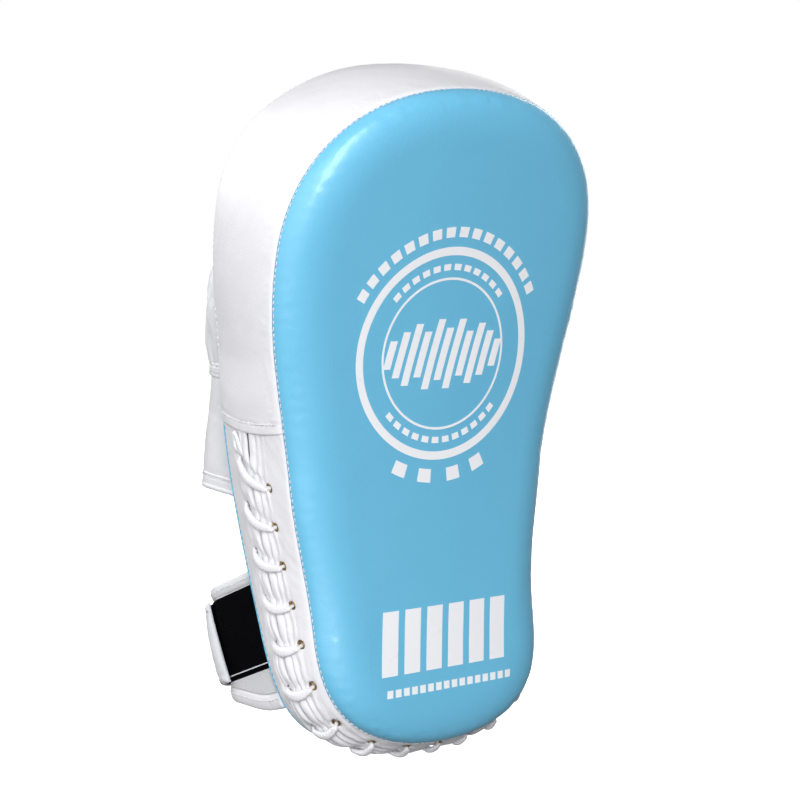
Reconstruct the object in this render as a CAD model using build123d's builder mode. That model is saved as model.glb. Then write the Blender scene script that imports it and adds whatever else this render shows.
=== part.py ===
"""Curved focus mitt: a laced, leather covered striking pad with a hand hood, palm cushion and wrist cuff.

Frame: the origin lies on the outside of the back panel, under the middle of the palm. +Z points to the
top of the pad, +Y away from the striking face, towards the hand, and +X to the wearer's strap side.
"""

import os
from math import cos, radians, sin, sqrt, tan

from build123d import *

os.makedirs("parts", exist_ok=True)

# ---- driving dimensions, millimetres ----

# Pad: the striking face and the back are arcs about axes that lie in front of the pad.
FACE_RADIUS = 506
FACE_CENTRE = (-566, 4)  # (y, z)
BACK_RADIUS = 415
BACK_CENTRE = (-413, 40)  # (y, z)
CROWN = 15.4  # height of the padded face above its seam
CROWN_ROUND = 13
LEATHER = 1.6

# The pad's outline in two planes, each as (half width, height) at base, hip, waist, shoulder and top.
FACE_PLANE = -72
FACE_OUTLINE = [(0, -180.4), (80.7, -109.6), (91.5, -26.7), (110.7, 101.7), (0, 201.5)]
FACE_BASE_FULLNESS = 0.75
BACK_PLANE = 2
BACK_OUTLINE = [(0, -194.3), (88.9, -120.8), (98.2, 22.8), (109.9, 135.0), (0, 218.3)]
BACK_BASE_FULLNESS = 1.10
TOP_FULLNESS = 0.625
SIDE_FULLNESS = 0.4

# Wall: a plain gusset above the seam, two laced bands in a U below it.
GUSSET_SEAM_Z = 3
GUSSET_HEM = 8
GUSSET_HEM_SPAN = (0.03, 0.95)
LACE_SLIT = (0.45, 0.55)  # shares of the wall's width
HEM_WIDTH = 0.05
TRIM = 1.2
POCKET_DEPTH = 6.0
POCKET_SPAN = (0.12, 0.88)
TONGUE_SPAN = (0.25, 0.75)
LACE_PITCH = 24.7  # along the front row
LACE_HOLES_A_SIDE = 9  # on each side of the one in the middle of the base
REAR_SPREAD = 0.045  # the rear row's extra pitch, so that the lace runs square across
FRONT_HOLE_SHARE = 0.27
REAR_HOLE_SHARE = 0.71
EYELET_BORE = 2.4  # radius
EYELET_BARREL = 2.8
EYELET_FLANGE = 3.8
FLANGE_HEIGHT = 0.7
BARREL_END = 0.4  # below the leather
EYELET_CLEARANCE = 0.05
LACE_RADIUS = 1.4
LACE_PROUD = 4.0  # centre of the outer runs above the wall
LACE_DEPTH = 3.8  # centre of the hidden runs below the wall
LACE_BEND_SHARE = 0.36  # of the shorter of the two runs that meet in a bend

# Foam layers, as shares of the pad's depth between the face seam and the back seam.
IMPACT_FOAM_SHARE = 0.22
BACK_BOARD_SHARE = 0.86

# Hood over the fingers and palm.
HOOD_MOUTH_Z = -42
HOOD_TOP_Z = 118
HOOD_HALF_WIDTH = 80.5
HOOD_DEPTH = 60.5
HOOD_CORNER = 26
HOOD_TOP_CORNER = 38
HOOD_CAP_Z = 70  # where the padding of the closed end starts
HOOD_PADDING = 5
LINING = 1.0
HOOD_BAND = (24, 33)
HEM = 9

# Palm cushion.
PALM_Z = -16
PALM_RADIUS = 31
PALM_HEIGHT = 15
PALM_ROOT = 4  # below the panel's middle, before the panel's own curve cuts it off

# Wrist cuff: two wings on a plane that leans with the back panel.
CUFF_Z = -119
CUFF_LEAN = 25  # degrees
CUFF_HALF_HEIGHT = 40
CUFF_HALF_WIDTH = 80
CUFF_DEPTH = 70
CUFF_CORNER = 24
CUFF_PADDING = 4.4
CUFF_GAP = 56  # between the two wings' free edges
CUFF_BINDING = 6.5
SEWN_GAP = 0.5
WRIST_PAD_HALF_WIDTH = 62
WRIST_PAD_HEIGHT = 8
WRIST_PAD_ROUND = 6
TAPE_WIDTH = 50
TAPE_RISE = 8  # of the tape's middle above the cuff's
LOOP_THICKNESS = 1.4
TAPE_GAP = 0.4
LOOP_START = 6  # above the back panel
LOOP_MARGIN = 4  # from the wing's free edge
WEBBING_THICKNESS = 0.8
WEBBING_WIDTH = 4
HOOK_THICKNESS = 1.2
HOOK_MARGIN = 1
STRAP_THICKNESS = 3.4
STRAP_HINGE_X = 46
STRAP_ANCHOR_START = 24
STRAP_LAP = 4  # of the closing strap past the cuff's rounded corner

REACH = 300  # larger than the whole pad
ARCH_ROOT = 30  # how far hood and cuff forms reach into the pad before the panel cuts them


# ---- the pad's outer surfaces ----

def face_depth(z, proud=0.0):
    """Y of the surface through the face seam at height z, moved out of the pad by proud."""
    return FACE_CENTRE[0] + sqrt((FACE_RADIUS - proud) ** 2 - (z - FACE_CENTRE[1]) ** 2)


def back_depth(z, proud=0.0):
    """Y of the back panel at height z, moved out of the pad by proud."""
    return BACK_CENTRE[0] + sqrt((BACK_RADIUS + proud) ** 2 - (z - BACK_CENTRE[1]) ** 2)


def share_depth(z, share):
    """Y at a share of the way from the face seam to the back panel."""
    return face_depth(z) + share * (back_depth(z) - face_depth(z))


def half_outline(stations, base_fullness, inset=0.0):
    """Right half of the outline, from base to top, as four tangent Bezier curves."""
    base, hip, waist, shoulder, top = stations
    base = Vector(0, base[1] + inset)
    top = Vector(0, top[1] - inset)
    hip, waist, shoulder = [Vector(x - inset, z) for x, z in (hip, waist, shoulder)]
    lean = (shoulder - hip).normalized()
    low = (waist.Y - hip.Y) * SIDE_FULLNESS
    high = (shoulder.Y - waist.Y) * SIDE_FULLNESS
    base_reach = Vector(base_fullness * hip.X, 0)
    hip_reach = Vector(0, base_fullness * (hip.Y - base.Y))
    shoulder_reach = Vector(0, TOP_FULLNESS * (top.Y - shoulder.Y))
    top_reach = Vector(TOP_FULLNESS * shoulder.X, 0)
    controls = [
        (base, base + base_reach, hip - hip_reach, hip),
        (hip, hip + Vector(0, low), waist - lean * low, waist),
        (waist, waist + lean * high, shoulder - Vector(0, high), shoulder),
        (shoulder, shoulder + shoulder_reach, top + top_reach, top),
    ]
    return [Bezier(*points, mode=Mode.PRIVATE) for points in controls]


def outline_at(y):
    """The outline's stations and base fullness in the plane at depth y."""
    t = (y - FACE_PLANE) / (BACK_PLANE - FACE_PLANE)
    stations = []
    for (x0, z0), (x1, z1) in zip(FACE_OUTLINE, BACK_OUTLINE):
        stations.append((x0 + t * (x1 - x0), z0 + t * (z1 - z0)))
    fullness = FACE_BASE_FULLNESS + t * (BACK_BASE_FULLNESS - FACE_BASE_FULLNESS)
    return stations, fullness


def pad_section(y, inset):
    """The pad's outline as a face in the plane at depth y."""
    stations, fullness = outline_at(y)
    half = half_outline(stations, fullness, inset)
    other_half = [edge.mirror(Plane.YZ) for edge in half]
    return Plane.XZ.offset(-y) * Face(Wire(half + other_half))


def wall_prism(inset=0.0):
    """The pad's wall as a solid that runs past its face and its back."""
    with BuildPart() as prism:
        loft(sections=[pad_section(-122, inset), pad_section(8, inset)], ruled=True, clean=False)
    return prism.part


def depth_zone(front, back, low=-240, high=260):
    """Everything between two depths, each a function of z, over a range of heights."""
    middle = (low + high) / 2
    with BuildPart() as zone:
        with BuildSketch(Plane.YZ):
            with BuildLine():
                ThreePointArc((front(low), low), (front(middle), middle), (front(high), high))
                Line((front(high), high), (back(high), high))
                ThreePointArc((back(high), high), (back(middle), middle), (back(low), low))
                Line((back(low), low), (front(low), low))
            make_face()
        extrude(amount=REACH / 2, both=True)
    return zone.part


def share_zone(first, last, low=-240, high=260):
    """Everything between two shares of the wall's width."""
    return depth_zone(lambda z: share_depth(z, first), lambda z: share_depth(z, last), low, high)


def pad_block(inset=0.0):
    """The whole pad as a solid, drawn in by inset on every side."""
    band = depth_zone(lambda z: face_depth(z, CROWN - inset), lambda z: back_depth(z, -inset))
    with BuildPart() as block:
        add(wall_prism(inset), clean=False)
        add(band, mode=Mode.INTERSECT, clean=False)
        rim = block.faces().sort_by(Axis.Y)[0]
        fillet(rim.outer_wire().edges(), radius=CROWN_ROUND - inset)
    return block.part


def cut(solid, *tools):
    """solid without the tools."""
    with BuildPart() as result:
        add(solid, clean=False)
        for tool in tools:
            add(tool, mode=Mode.SUBTRACT, clean=False)
    return result.part


def common(solid, *tools):
    """What solid shares with every one of the tools."""
    with BuildPart() as result:
        add(solid, clean=False)
        for tool in tools:
            add(tool, mode=Mode.INTERSECT, clean=False)
    return result.part


def save(name, part):
    """Label a finished piece and write its STEP file."""
    part.label = name
    export_step(part, f"parts/{name}.step")


# ---- skins and foam of the pad ----

outer = pad_block()
inner = pad_block(LEATHER)
skin = cut(outer, inner)
face_side = depth_zone(lambda z: face_depth(z, 60), face_depth)
wall_side = share_zone(0, 1)
below_seam = share_zone(-1, 2, low=-240, high=GUSSET_SEAM_Z)
above_seam = share_zone(-1, 2, low=GUSSET_SEAM_Z, high=260)
turned_edge = depth_zone(lambda z: back_depth(z, -LEATHER), lambda z: back_depth(z, 20))

pocket_floor = wall_prism(LEATHER + POCKET_DEPTH)
tongue_floor = wall_prism(LEATHER + POCKET_DEPTH + TRIM)
pocket_zone = share_zone(*POCKET_SPAN, low=-240, high=GUSSET_SEAM_Z - 6)
foam = cut(inner, cut(pocket_zone, tongue_floor))

with BuildPart() as face_panel:
    add(skin)
    add(face_side, mode=Mode.INTERSECT)
save("face_panel", face_panel.part)

with BuildPart() as back_panel:
    add(skin)
    add(turned_edge, mode=Mode.INTERSECT)
save("back_panel", back_panel.part)

wall_skin = cut(common(skin, wall_side), turned_edge)

with BuildPart() as upper_gusset:
    add(wall_skin)
    add(above_seam, mode=Mode.INTERSECT)
save("upper_gusset", upper_gusset.part)

with BuildPart() as impact_foam:
    add(foam)
    add(share_zone(-1, IMPACT_FOAM_SHARE), mode=Mode.INTERSECT)
save("impact_foam", impact_foam.part)

with BuildPart() as core_foam:
    add(foam)
    add(share_zone(IMPACT_FOAM_SHARE, BACK_BOARD_SHARE), mode=Mode.INTERSECT)
save("core_foam", core_foam.part)

with BuildPart() as back_board:
    add(foam)
    add(share_zone(BACK_BOARD_SHARE, 2), mode=Mode.INTERSECT)
save("back_board", back_board.part)

with BuildPart() as lacing_tongue:
    add(pocket_floor)
    add(tongue_floor, mode=Mode.SUBTRACT)
    add(share_zone(*TONGUE_SPAN, low=-240, high=GUSSET_SEAM_Z - 7), mode=Mode.INTERSECT)
save("lacing_tongue", lacing_tongue.part)

# Rolled hems and the gusset's lower hem stand on the wall.
raised = cut(wall_prism(-TRIM), wall_prism())

with BuildPart() as gusset_hem:
    add(raised)
    hem_top = GUSSET_SEAM_Z + GUSSET_HEM
    add(share_zone(*GUSSET_HEM_SPAN, low=GUSSET_SEAM_Z, high=hem_top), mode=Mode.INTERSECT)
save("gusset_hem", gusset_hem.part)

# ---- eyelets and lace ----

def wall_point(along, share):
    """Point on the right half of the lower wall, and the wall's direction of run there."""
    y = share_depth(FACE_OUTLINE[1][1], share)
    for _ in range(5):
        half = Wire(half_outline(*outline_at(y)))
        point = half.position_at(along, position_mode=PositionMode.LENGTH)
        y = share_depth(point.Y, share)
    run = half.tangent_at(along, position_mode=PositionMode.LENGTH)
    return Vector(point.X, y, point.Y), Vector(run.X, 0, run.Y)


def wall_plane(along, share, proud=0.0):
    """Plane on the lower wall, its normal pointing out of the pad.

    along is the distance from the middle of the base, positive towards +X, and share is the way
    across the wall from the face to the back.
    """
    side = 1 if along >= 0 else -1
    point, run = wall_point(abs(along), share)
    across = wall_point(abs(along), share + 0.1)[0] - wall_point(abs(along), share - 0.1)[0]
    normal = across.cross(run).normalized()
    point = point + normal * proud
    return Plane(
        origin=(side * point.X, point.Y, point.Z),
        x_dir=(side * run.X, 0, run.Z),
        z_dir=(side * normal.X, normal.Y, normal.Z),
    )


def lacing_plane(step, share, proud=0.0):
    """Plane at a lacing place, spread towards the rear row."""
    rear = (share - FRONT_HOLE_SHARE) / (REAR_HOLE_SHARE - FRONT_HOLE_SHARE)
    return wall_plane(step * (1 + REAR_SPREAD * rear), share, proud)


def rings(share, radius_out, radius_in, low, high):
    """A ring on the wall at every lacing place, from low to high along the wall's normal."""
    with BuildPart() as group:
        for step in LACE_STEPS:
            spot = lacing_plane(step, share)
            with BuildSketch(spot.offset(low)):
                Circle(radius_out)
                if radius_in:
                    Circle(radius_in, mode=Mode.SUBTRACT)
            extrude(amount=high - low)
    return group.part


LACE_STEPS = [i * LACE_PITCH for i in range(-LACE_HOLES_A_SIDE, LACE_HOLES_A_SIDE + 1)]

for row, share in (("front", FRONT_HOLE_SHARE), ("rear", REAR_HOLE_SHARE)):
    with BuildPart() as eyelets:
        add(rings(share, EYELET_FLANGE, EYELET_BORE, EYELET_CLEARANCE, FLANGE_HEIGHT))
        add(rings(share, EYELET_BARREL, EYELET_BORE, -LEATHER - BARREL_END, 2 * EYELET_CLEARANCE))
    save(f"{row}_eyelets", eyelets.part)

lower_wall = common(wall_skin, below_seam)
slit_low, slit_high = LACE_SLIT

BAND_HOLE = EYELET_BARREL + EYELET_CLEARANCE
FLANGE_SEAT = EYELET_FLANGE + EYELET_CLEARANCE
REACH_IN = 4  # deeper than any layer of the wall


def laced_band(first, last, hole_share):
    """One laced band of the lower wall, punched and pressed flat for its eyelets."""
    with BuildPart() as band:
        add(lower_wall)
        add(share_zone(first, last), mode=Mode.INTERSECT)
        add(rings(hole_share, BAND_HOLE, 0, -REACH_IN, REACH_IN), mode=Mode.SUBTRACT)
        add(rings(hole_share, FLANGE_SEAT, 0, -EYELET_CLEARANCE, REACH_IN), mode=Mode.SUBTRACT)
    return band.part


def lacing_hem(first, last, hole_share):
    """The rolled edge of a laced band, along the slit, clear of the band's eyelets."""
    with BuildPart() as hem:
        add(raised)
        add(share_zone(first, last, high=GUSSET_SEAM_Z - 1), mode=Mode.INTERSECT)
        add(rings(hole_share, FLANGE_SEAT, 0, -EYELET_CLEARANCE, REACH_IN), mode=Mode.SUBTRACT)
    return hem.part


save("front_lacing_band", laced_band(-1, slit_low, FRONT_HOLE_SHARE))
save("rear_lacing_band", laced_band(slit_high, 2, REAR_HOLE_SHARE))
save("front_lacing_hem", lacing_hem(slit_low - HEM_WIDTH, slit_low, FRONT_HOLE_SHARE))
save("rear_lacing_hem", lacing_hem(slit_high, slit_high + HEM_WIDTH, REAR_HOLE_SHARE))


def lace_route():
    """Corners of the lace: over the slit from rear to front hole, then under it to the next pair."""
    corners = [lacing_plane(LACE_STEPS[0], 0.5, -LACE_DEPTH).origin]
    for step in LACE_STEPS:
        for share, heights in (
            (REAR_HOLE_SHARE, (-LACE_DEPTH, LACE_PROUD)),
            (FRONT_HOLE_SHARE, (LACE_PROUD, -LACE_DEPTH)),
        ):
            for height in heights:
                corners.append(lacing_plane(step, share, height).origin)
    corners.append(lacing_plane(LACE_STEPS[-1], 0.5, -LACE_DEPTH).origin)
    return corners


def bend_radii(points):
    """The largest radius that each corner of a route leaves room for."""
    radii = []
    for before, corner, after in zip(points, points[1:], points[2:]):
        turn = radians((corner - before).get_angle(after - corner))
        run = min((corner - before).length, (after - corner).length)
        radii.append(LACE_BEND_SHARE * run / tan(turn / 2))
    return radii


route = lace_route()
radii = bend_radii(route)
with BuildPart() as lace:
    with BuildLine() as path:
        FilletPolyline(*route, radius=radii)
    with BuildSketch(Plane(origin=route[0], z_dir=route[1] - route[0])):
        Circle(LACE_RADIUS)
    sweep()
lace_length = path.wire().length
print("lace length", round(lace_length, 1))
save("lace", lace.part)

# ---- hood ----

pad_side = depth_zone(lambda z: back_depth(z, -80), back_depth)


def arch_block(plane, half_width, depth, corner, low, high):
    """A solid along the plane's normal, its section a rectangle with two rounded outer corners."""
    with BuildPart() as block:
        with BuildSketch(plane.offset(low)) as arch:
            with Locations((0, (depth - ARCH_ROOT) / 2)):
                Rectangle(2 * half_width, depth + ARCH_ROOT)
            fillet(arch.vertices().group_by(Axis.Y)[-1], radius=corner)
        extrude(amount=high - low)
    return block.part


def hood_block(inset, low=HOOD_MOUTH_Z):
    """The hood's outer form, drawn in by inset, from the height low to its closed top."""
    depth = HOOD_DEPTH - inset
    top = HOOD_TOP_Z - inset
    with BuildPart() as block:
        add(arch_block(Plane.XY, HOOD_HALF_WIDTH - inset, depth, HOOD_CORNER - inset, low, top))
        back_edge = block.edges().filter_by(Axis.X).group_by(Axis.Z)[-1].sort_by(Axis.Y)[-1]
        fillet(back_edge, radius=HOOD_TOP_CORNER - inset)
        add(pad_side, mode=Mode.SUBTRACT)
    return block.part


def slab(low, high):
    """Everything between two heights."""
    with BuildPart() as layer:
        with BuildSketch(Plane.XY.offset(low)):
            Rectangle(REACH, REACH)
        extrude(amount=high - low)
    return layer.part


hood_skin_inner = hood_block(LEATHER, HOOD_MOUTH_Z - 20)
hood_foam_inner = hood_block(LEATHER + HOOD_PADDING, HOOD_MOUTH_Z - 20)
hood_space = hood_block(LEATHER + HOOD_PADDING + LINING, HOOD_MOUTH_Z - 20)
hood_outer = hood_block(0)
hood_shell = cut(hood_outer, hood_skin_inner)
hood_seam_z = sum(HOOD_BAND) / 2

with BuildPart() as hood_upper_panel:
    add(hood_shell)
    add(slab(hood_seam_z, HOOD_TOP_Z + 10), mode=Mode.INTERSECT)
save("hood_upper_panel", hood_upper_panel.part)

with BuildPart() as hood_lower_panel:
    add(hood_shell)
    add(slab(HOOD_MOUTH_Z - 10, hood_seam_z), mode=Mode.INTERSECT)
save("hood_lower_panel", hood_lower_panel.part)

padding_layer = cut(hood_skin_inner, hood_foam_inner)
for name, low, high in (
    ("hood_padding", HOOD_MOUTH_Z, HOOD_CAP_Z),
    ("hood_cap_padding", HOOD_CAP_Z, HOOD_TOP_Z),
):
    with BuildPart() as padding:
        add(padding_layer)
        add(slab(low, high), mode=Mode.INTERSECT)
    save(name, padding.part)

with BuildPart() as hood_lining:
    add(hood_foam_inner)
    add(hood_space, mode=Mode.SUBTRACT)
    add(slab(HOOD_MOUTH_Z, HOOD_TOP_Z), mode=Mode.INTERSECT)
save("hood_lining", hood_lining.part)

hood_raised = hood_block(-TRIM, HOOD_MOUTH_Z - TRIM)

with BuildPart() as hood_band:
    add(hood_raised)
    add(hood_outer, mode=Mode.SUBTRACT)
    add(slab(*HOOD_BAND), mode=Mode.INTERSECT)
save("hood_band", hood_band.part)

with BuildPart() as hood_hem:
    add(hood_raised)
    add(hood_outer, mode=Mode.SUBTRACT)
    add(hood_space, mode=Mode.SUBTRACT)
    add(slab(HOOD_MOUTH_Z - TRIM, HOOD_MOUTH_Z + HEM), mode=Mode.INTERSECT)
save("hood_hem", hood_hem.part)

# ---- palm cushion ----

dome_radius = (PALM_RADIUS**2 + PALM_HEIGHT**2) / (2 * PALM_HEIGHT)
dome_middle = (PALM_RADIUS / 2, PALM_HEIGHT - dome_radius + sqrt(dome_radius**2 - PALM_RADIUS**2 / 4))

with BuildPart() as dome:
    with BuildSketch(Plane.XY):
        with BuildLine():
            ThreePointArc((PALM_RADIUS, 0), dome_middle, (0, PALM_HEIGHT))
            Polyline((0, PALM_HEIGHT), (0, -PALM_ROOT), (PALM_RADIUS, -PALM_ROOT), (PALM_RADIUS, 0))
        make_face()
    revolve(axis=Axis.Y)

with BuildPart() as palm_cushion:
    add(Pos(0, back_depth(PALM_Z), PALM_Z) * dome.part)
    add(pad_side, mode=Mode.SUBTRACT)
save("palm_cushion", palm_cushion.part)

# ---- wrist cuff ----

lean = radians(CUFF_LEAN)
CUFF_PLANE = Plane(
    origin=(0, back_depth(CUFF_Z), CUFF_Z),
    x_dir=(1, 0, 0),
    z_dir=(0, sin(lean), cos(lean)),
)
panel_and_gap = depth_zone(lambda z: back_depth(z, -80), lambda z: back_depth(z, SEWN_GAP))


def cuff_block(inset, low=-CUFF_HALF_HEIGHT, high=CUFF_HALF_HEIGHT):
    """The cuff's outer form, drawn in by inset, between two heights up the leaning plane."""
    form = arch_block(
        CUFF_PLANE, CUFF_HALF_WIDTH - inset, CUFF_DEPTH - inset, CUFF_CORNER - inset, low, high
    )
    return cut(form, panel_and_gap)


def cuff_layer(outer_inset, inner_inset, low=-CUFF_HALF_HEIGHT, high=CUFF_HALF_HEIGHT):
    """One layer of the cuff, all round the wrist."""
    return cut(cuff_block(outer_inset, low, high), cuff_block(inner_inset, low - 1, high + 1))


def cuff_box(x_low, x_high, y_low, y_high):
    """A block in the leaning plane that picks out part of a cuff layer."""
    with BuildPart() as block:
        with BuildSketch(CUFF_PLANE.offset(-REACH / 2)):
            with Locations(((x_low + x_high) / 2, (y_low + y_high) / 2)):
                Rectangle(x_high - x_low, y_high - y_low)
        extrude(amount=REACH)
    return block.part


WINGS = {
    "left": cuff_box(-REACH, -CUFF_GAP / 2, -REACH, REACH),
    "right": cuff_box(CUFF_GAP / 2, REACH, -REACH, REACH),
}
foam_start = LEATHER
lining_start = LEATHER + CUFF_PADDING
cuff_thickness = lining_start + LINING
binding_layers = [
    cuff_layer(-TRIM, 0, CUFF_HALF_HEIGHT - CUFF_BINDING, CUFF_HALF_HEIGHT),
    cuff_layer(-TRIM, cuff_thickness, CUFF_HALF_HEIGHT, CUFF_HALF_HEIGHT + TRIM),
]
hem_layers = [
    cuff_layer(-TRIM, 0, -CUFF_HALF_HEIGHT, -CUFF_HALF_HEIGHT + HEM),
    cuff_layer(-TRIM, cuff_thickness, -CUFF_HALF_HEIGHT - TRIM, -CUFF_HALF_HEIGHT),
]

for side, wing in WINGS.items():
    save(f"{side}_cuff_shell", common(cuff_layer(0, foam_start), wing))
    save(f"{side}_cuff_padding", common(cuff_layer(foam_start, lining_start), wing))
    save(f"{side}_cuff_lining", common(cuff_layer(lining_start, cuff_thickness), wing))
    for name, layers in (("top_binding", binding_layers), ("bottom_hem", hem_layers)):
        with BuildPart() as binding:
            for layer in layers:
                add(common(layer, wing))
        save(f"{side}_cuff_{name}", binding.part)

with BuildPart() as wrist_pad:
    with BuildSketch(CUFF_PLANE.offset(-CUFF_HALF_HEIGHT)):
        with Locations((0, (WRIST_PAD_HEIGHT - ARCH_ROOT) / 2)):
            RectangleRounded(2 * WRIST_PAD_HALF_WIDTH, WRIST_PAD_HEIGHT + ARCH_ROOT, WRIST_PAD_ROUND)
    extrude(amount=2 * CUFF_HALF_HEIGHT)
    add(pad_side, mode=Mode.SUBTRACT)
save("wrist_pad", wrist_pad.part)

# ---- closing strap: hook and loop tape round the back of the cuff ----

tape_low = TAPE_RISE - TAPE_WIDTH / 2
tape_high = TAPE_RISE + TAPE_WIDTH / 2
hook_level = LOOP_THICKNESS + TAPE_GAP
strap_level = hook_level + HOOK_THICKNESS
strap_top = strap_level + STRAP_THICKNESS
corner_start = CUFF_DEPTH - CUFF_CORNER - STRAP_LAP
loop_zone = cuff_box(-REACH, -CUFF_GAP / 2 - LOOP_MARGIN, LOOP_START, REACH)

with BuildPart() as loop_patch:
    add(cuff_layer(-LOOP_THICKNESS, 0, tape_low, tape_high))
    add(loop_zone, mode=Mode.INTERSECT)
save("loop_patch", loop_patch.part)

with BuildPart() as webbing_strip:
    add(cuff_layer(-WEBBING_THICKNESS, 0, tape_low - WEBBING_WIDTH, tape_low))
    add(loop_zone, mode=Mode.INTERSECT)
save("webbing_strip", webbing_strip.part)

with BuildPart() as hook_patch:
    add(cuff_layer(-strap_level, -hook_level, tape_low + HOOK_MARGIN, tape_high - HOOK_MARGIN))
    hook_start = corner_start + STRAP_LAP - HOOK_MARGIN
    hook_zone = cuff_box(-REACH, -CUFF_GAP / 2 - LOOP_MARGIN, hook_start, REACH)
    add(hook_zone, mode=Mode.INTERSECT)
save("hook_patch", hook_patch.part)

strap_layer = cuff_layer(-strap_top, -strap_level, tape_low, tape_high)

with BuildPart() as closing_strap:
    add(strap_layer)
    add(cuff_box(-REACH, STRAP_HINGE_X, corner_start, REACH), mode=Mode.INTERSECT)
save("closing_strap", closing_strap.part)

with BuildPart() as strap_anchor:
    add(strap_layer)
    add(cuff_layer(-strap_level, 0, tape_low, tape_high))
    anchor_zone = cuff_box(STRAP_HINGE_X + TAPE_GAP, REACH, STRAP_ANCHOR_START, REACH)
    add(anchor_zone, mode=Mode.INTERSECT)
save("strap_anchor", strap_anchor.part)
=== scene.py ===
"""Focus mitt: a curved, laced striking pad with a finger hood, palm cushion and wrist cuff."""

import math

import bmesh
import bpy
import numpy as np
from mathutils import Matrix, Vector
from mathutils.bvhtree import BVHTree


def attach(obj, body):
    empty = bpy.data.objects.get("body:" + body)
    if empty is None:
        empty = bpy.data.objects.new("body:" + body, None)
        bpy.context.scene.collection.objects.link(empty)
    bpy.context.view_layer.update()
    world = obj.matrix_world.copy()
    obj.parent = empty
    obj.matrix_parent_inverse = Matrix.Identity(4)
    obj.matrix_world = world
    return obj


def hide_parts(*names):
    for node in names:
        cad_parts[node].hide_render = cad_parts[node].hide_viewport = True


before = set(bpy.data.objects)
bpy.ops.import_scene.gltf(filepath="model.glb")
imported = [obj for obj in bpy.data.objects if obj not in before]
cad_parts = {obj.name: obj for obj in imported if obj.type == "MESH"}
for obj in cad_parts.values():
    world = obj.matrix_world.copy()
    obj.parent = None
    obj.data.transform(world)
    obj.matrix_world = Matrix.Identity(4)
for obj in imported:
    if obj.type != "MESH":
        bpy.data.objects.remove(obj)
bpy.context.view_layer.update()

MM = 0.001

# ---- the pad's form, in millimetres, as in the CAD model ----

FACE_ARC = (-566.0, 4.0, 506.0)  # centre y, centre z, radius of the surface through the face seam
BACK_ARC = (-413.0, 40.0, 415.0)
FACE_PLANE, BACK_PLANE = -72.0, 2.0
FACE_OUTLINE = [(0, -180.4), (80.7, -109.6), (91.5, -26.7), (110.7, 101.7), (0, 201.5)]
BACK_OUTLINE = [(0, -194.3), (88.9, -120.8), (98.2, 22.8), (109.9, 135.0), (0, 218.3)]
BASE_FULLNESS = (0.75, 1.10)
TOP_FULLNESS = 0.625
SIDE_FULLNESS = 0.4
NEAR_Y, FAR_Y = -122.0, 8.0
CROWN = 15.4
CROWN_INSET = 30.0
WALL_BULGE = 4.4

SEAM_Z = 4.0
LACE_PITCH = 24.85
LACE_A_SIDE = 9
FRONT_HOLE, REAR_HOLE = 0.27, 0.70
LACE_FLATNESS = 0.62
BAND_COLUMNS = 640

CUFF_AT = (0.0, -29.7, -119.0)
CUFF_LEAN = math.radians(25)
CUFF_HALF_WIDTH, CUFF_DEPTH, CUFF_CORNER = 80.0, 70.0, 24.0
CUFF_HALF_HEIGHT = 40.0
CUFF_FREE_EDGE = 28.0
TAPE_LOW, TAPE_HIGH = -17.0, 33.0
STRAP_HINGE_X = 46.0
STRAP_SLANT = 9.0

HOOD_MOUTH, HOOD_SHOULDER, HOOD_TOP = -42.0, 78.0, 118.0
HOOD_HALF_WIDTH, HOOD_DEPTH = 80.5, 60.5
HOOD_CORNER = 26.0
HOOD_BAND = (24.0, 33.0)


def arc_depth(z, arc, proud=0.0):
    """Y of one of the pad's two curved surfaces at height z."""
    centre_y, centre_z, radius = arc
    return centre_y + np.sqrt((radius + proud) ** 2 - (z - centre_z) ** 2)


def share_depth(z, share):
    """Y at a share of the way from the face seam to the back panel."""
    near, far = arc_depth(z, FACE_ARC), arc_depth(z, BACK_ARC)
    return near + share * (far - near)


def outline_controls(y):
    """Control points of the outline's right half in the plane at depth y, from base to top."""
    t = (y - FACE_PLANE) / (BACK_PLANE - FACE_PLANE)
    base, hip, waist, shoulder, top = np.array(FACE_OUTLINE) * (1 - t) + np.array(BACK_OUTLINE) * t
    fullness = BASE_FULLNESS[0] * (1 - t) + BASE_FULLNESS[1] * t
    lean = (shoulder - hip) / np.linalg.norm(shoulder - hip)
    low = (waist[1] - hip[1]) * SIDE_FULLNESS
    high = (shoulder[1] - waist[1]) * SIDE_FULLNESS
    rise = TOP_FULLNESS * (top[1] - shoulder[1])
    up = np.array([0.0, 1.0])
    across = np.array([1.0, 0.0])
    return np.array([
        [base, base + across * fullness * hip[0], hip - up * fullness * (hip[1] - base[1]), hip],
        [hip, hip + up * low, waist - lean * low, waist],
        [waist, waist + lean * high, shoulder - up * high, shoulder],
        [shoulder, shoulder + up * rise, top + across * TOP_FULLNESS * shoulder[0], top],
    ])


NEAR_CONTROLS, FAR_CONTROLS = outline_controls(NEAR_Y), outline_controls(FAR_Y)


def outline(u, y):
    """x and z of the outline at depth y. u is 0 at the base, 4 at the top, 8 at the base again."""
    u = np.mod(u, 8.0)
    left = u > 4
    w = np.where(left, 8 - u, u)
    part = np.minimum(w.astype(int), 3)
    t = w - part
    weights = [(1 - t) ** 3, 3 * (1 - t) ** 2 * t, 3 * (1 - t) * t**2, t**3]
    near = sum(k[..., None] * NEAR_CONTROLS[part, i] for i, k in enumerate(weights))
    far = sum(k[..., None] * FAR_CONTROLS[part, i] for i, k in enumerate(weights))
    point = near + (far - near) * ((y - NEAR_Y) / (FAR_Y - NEAR_Y))[..., None]
    return np.where(left, -point[..., 0], point[..., 0]), point[..., 1]


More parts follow.
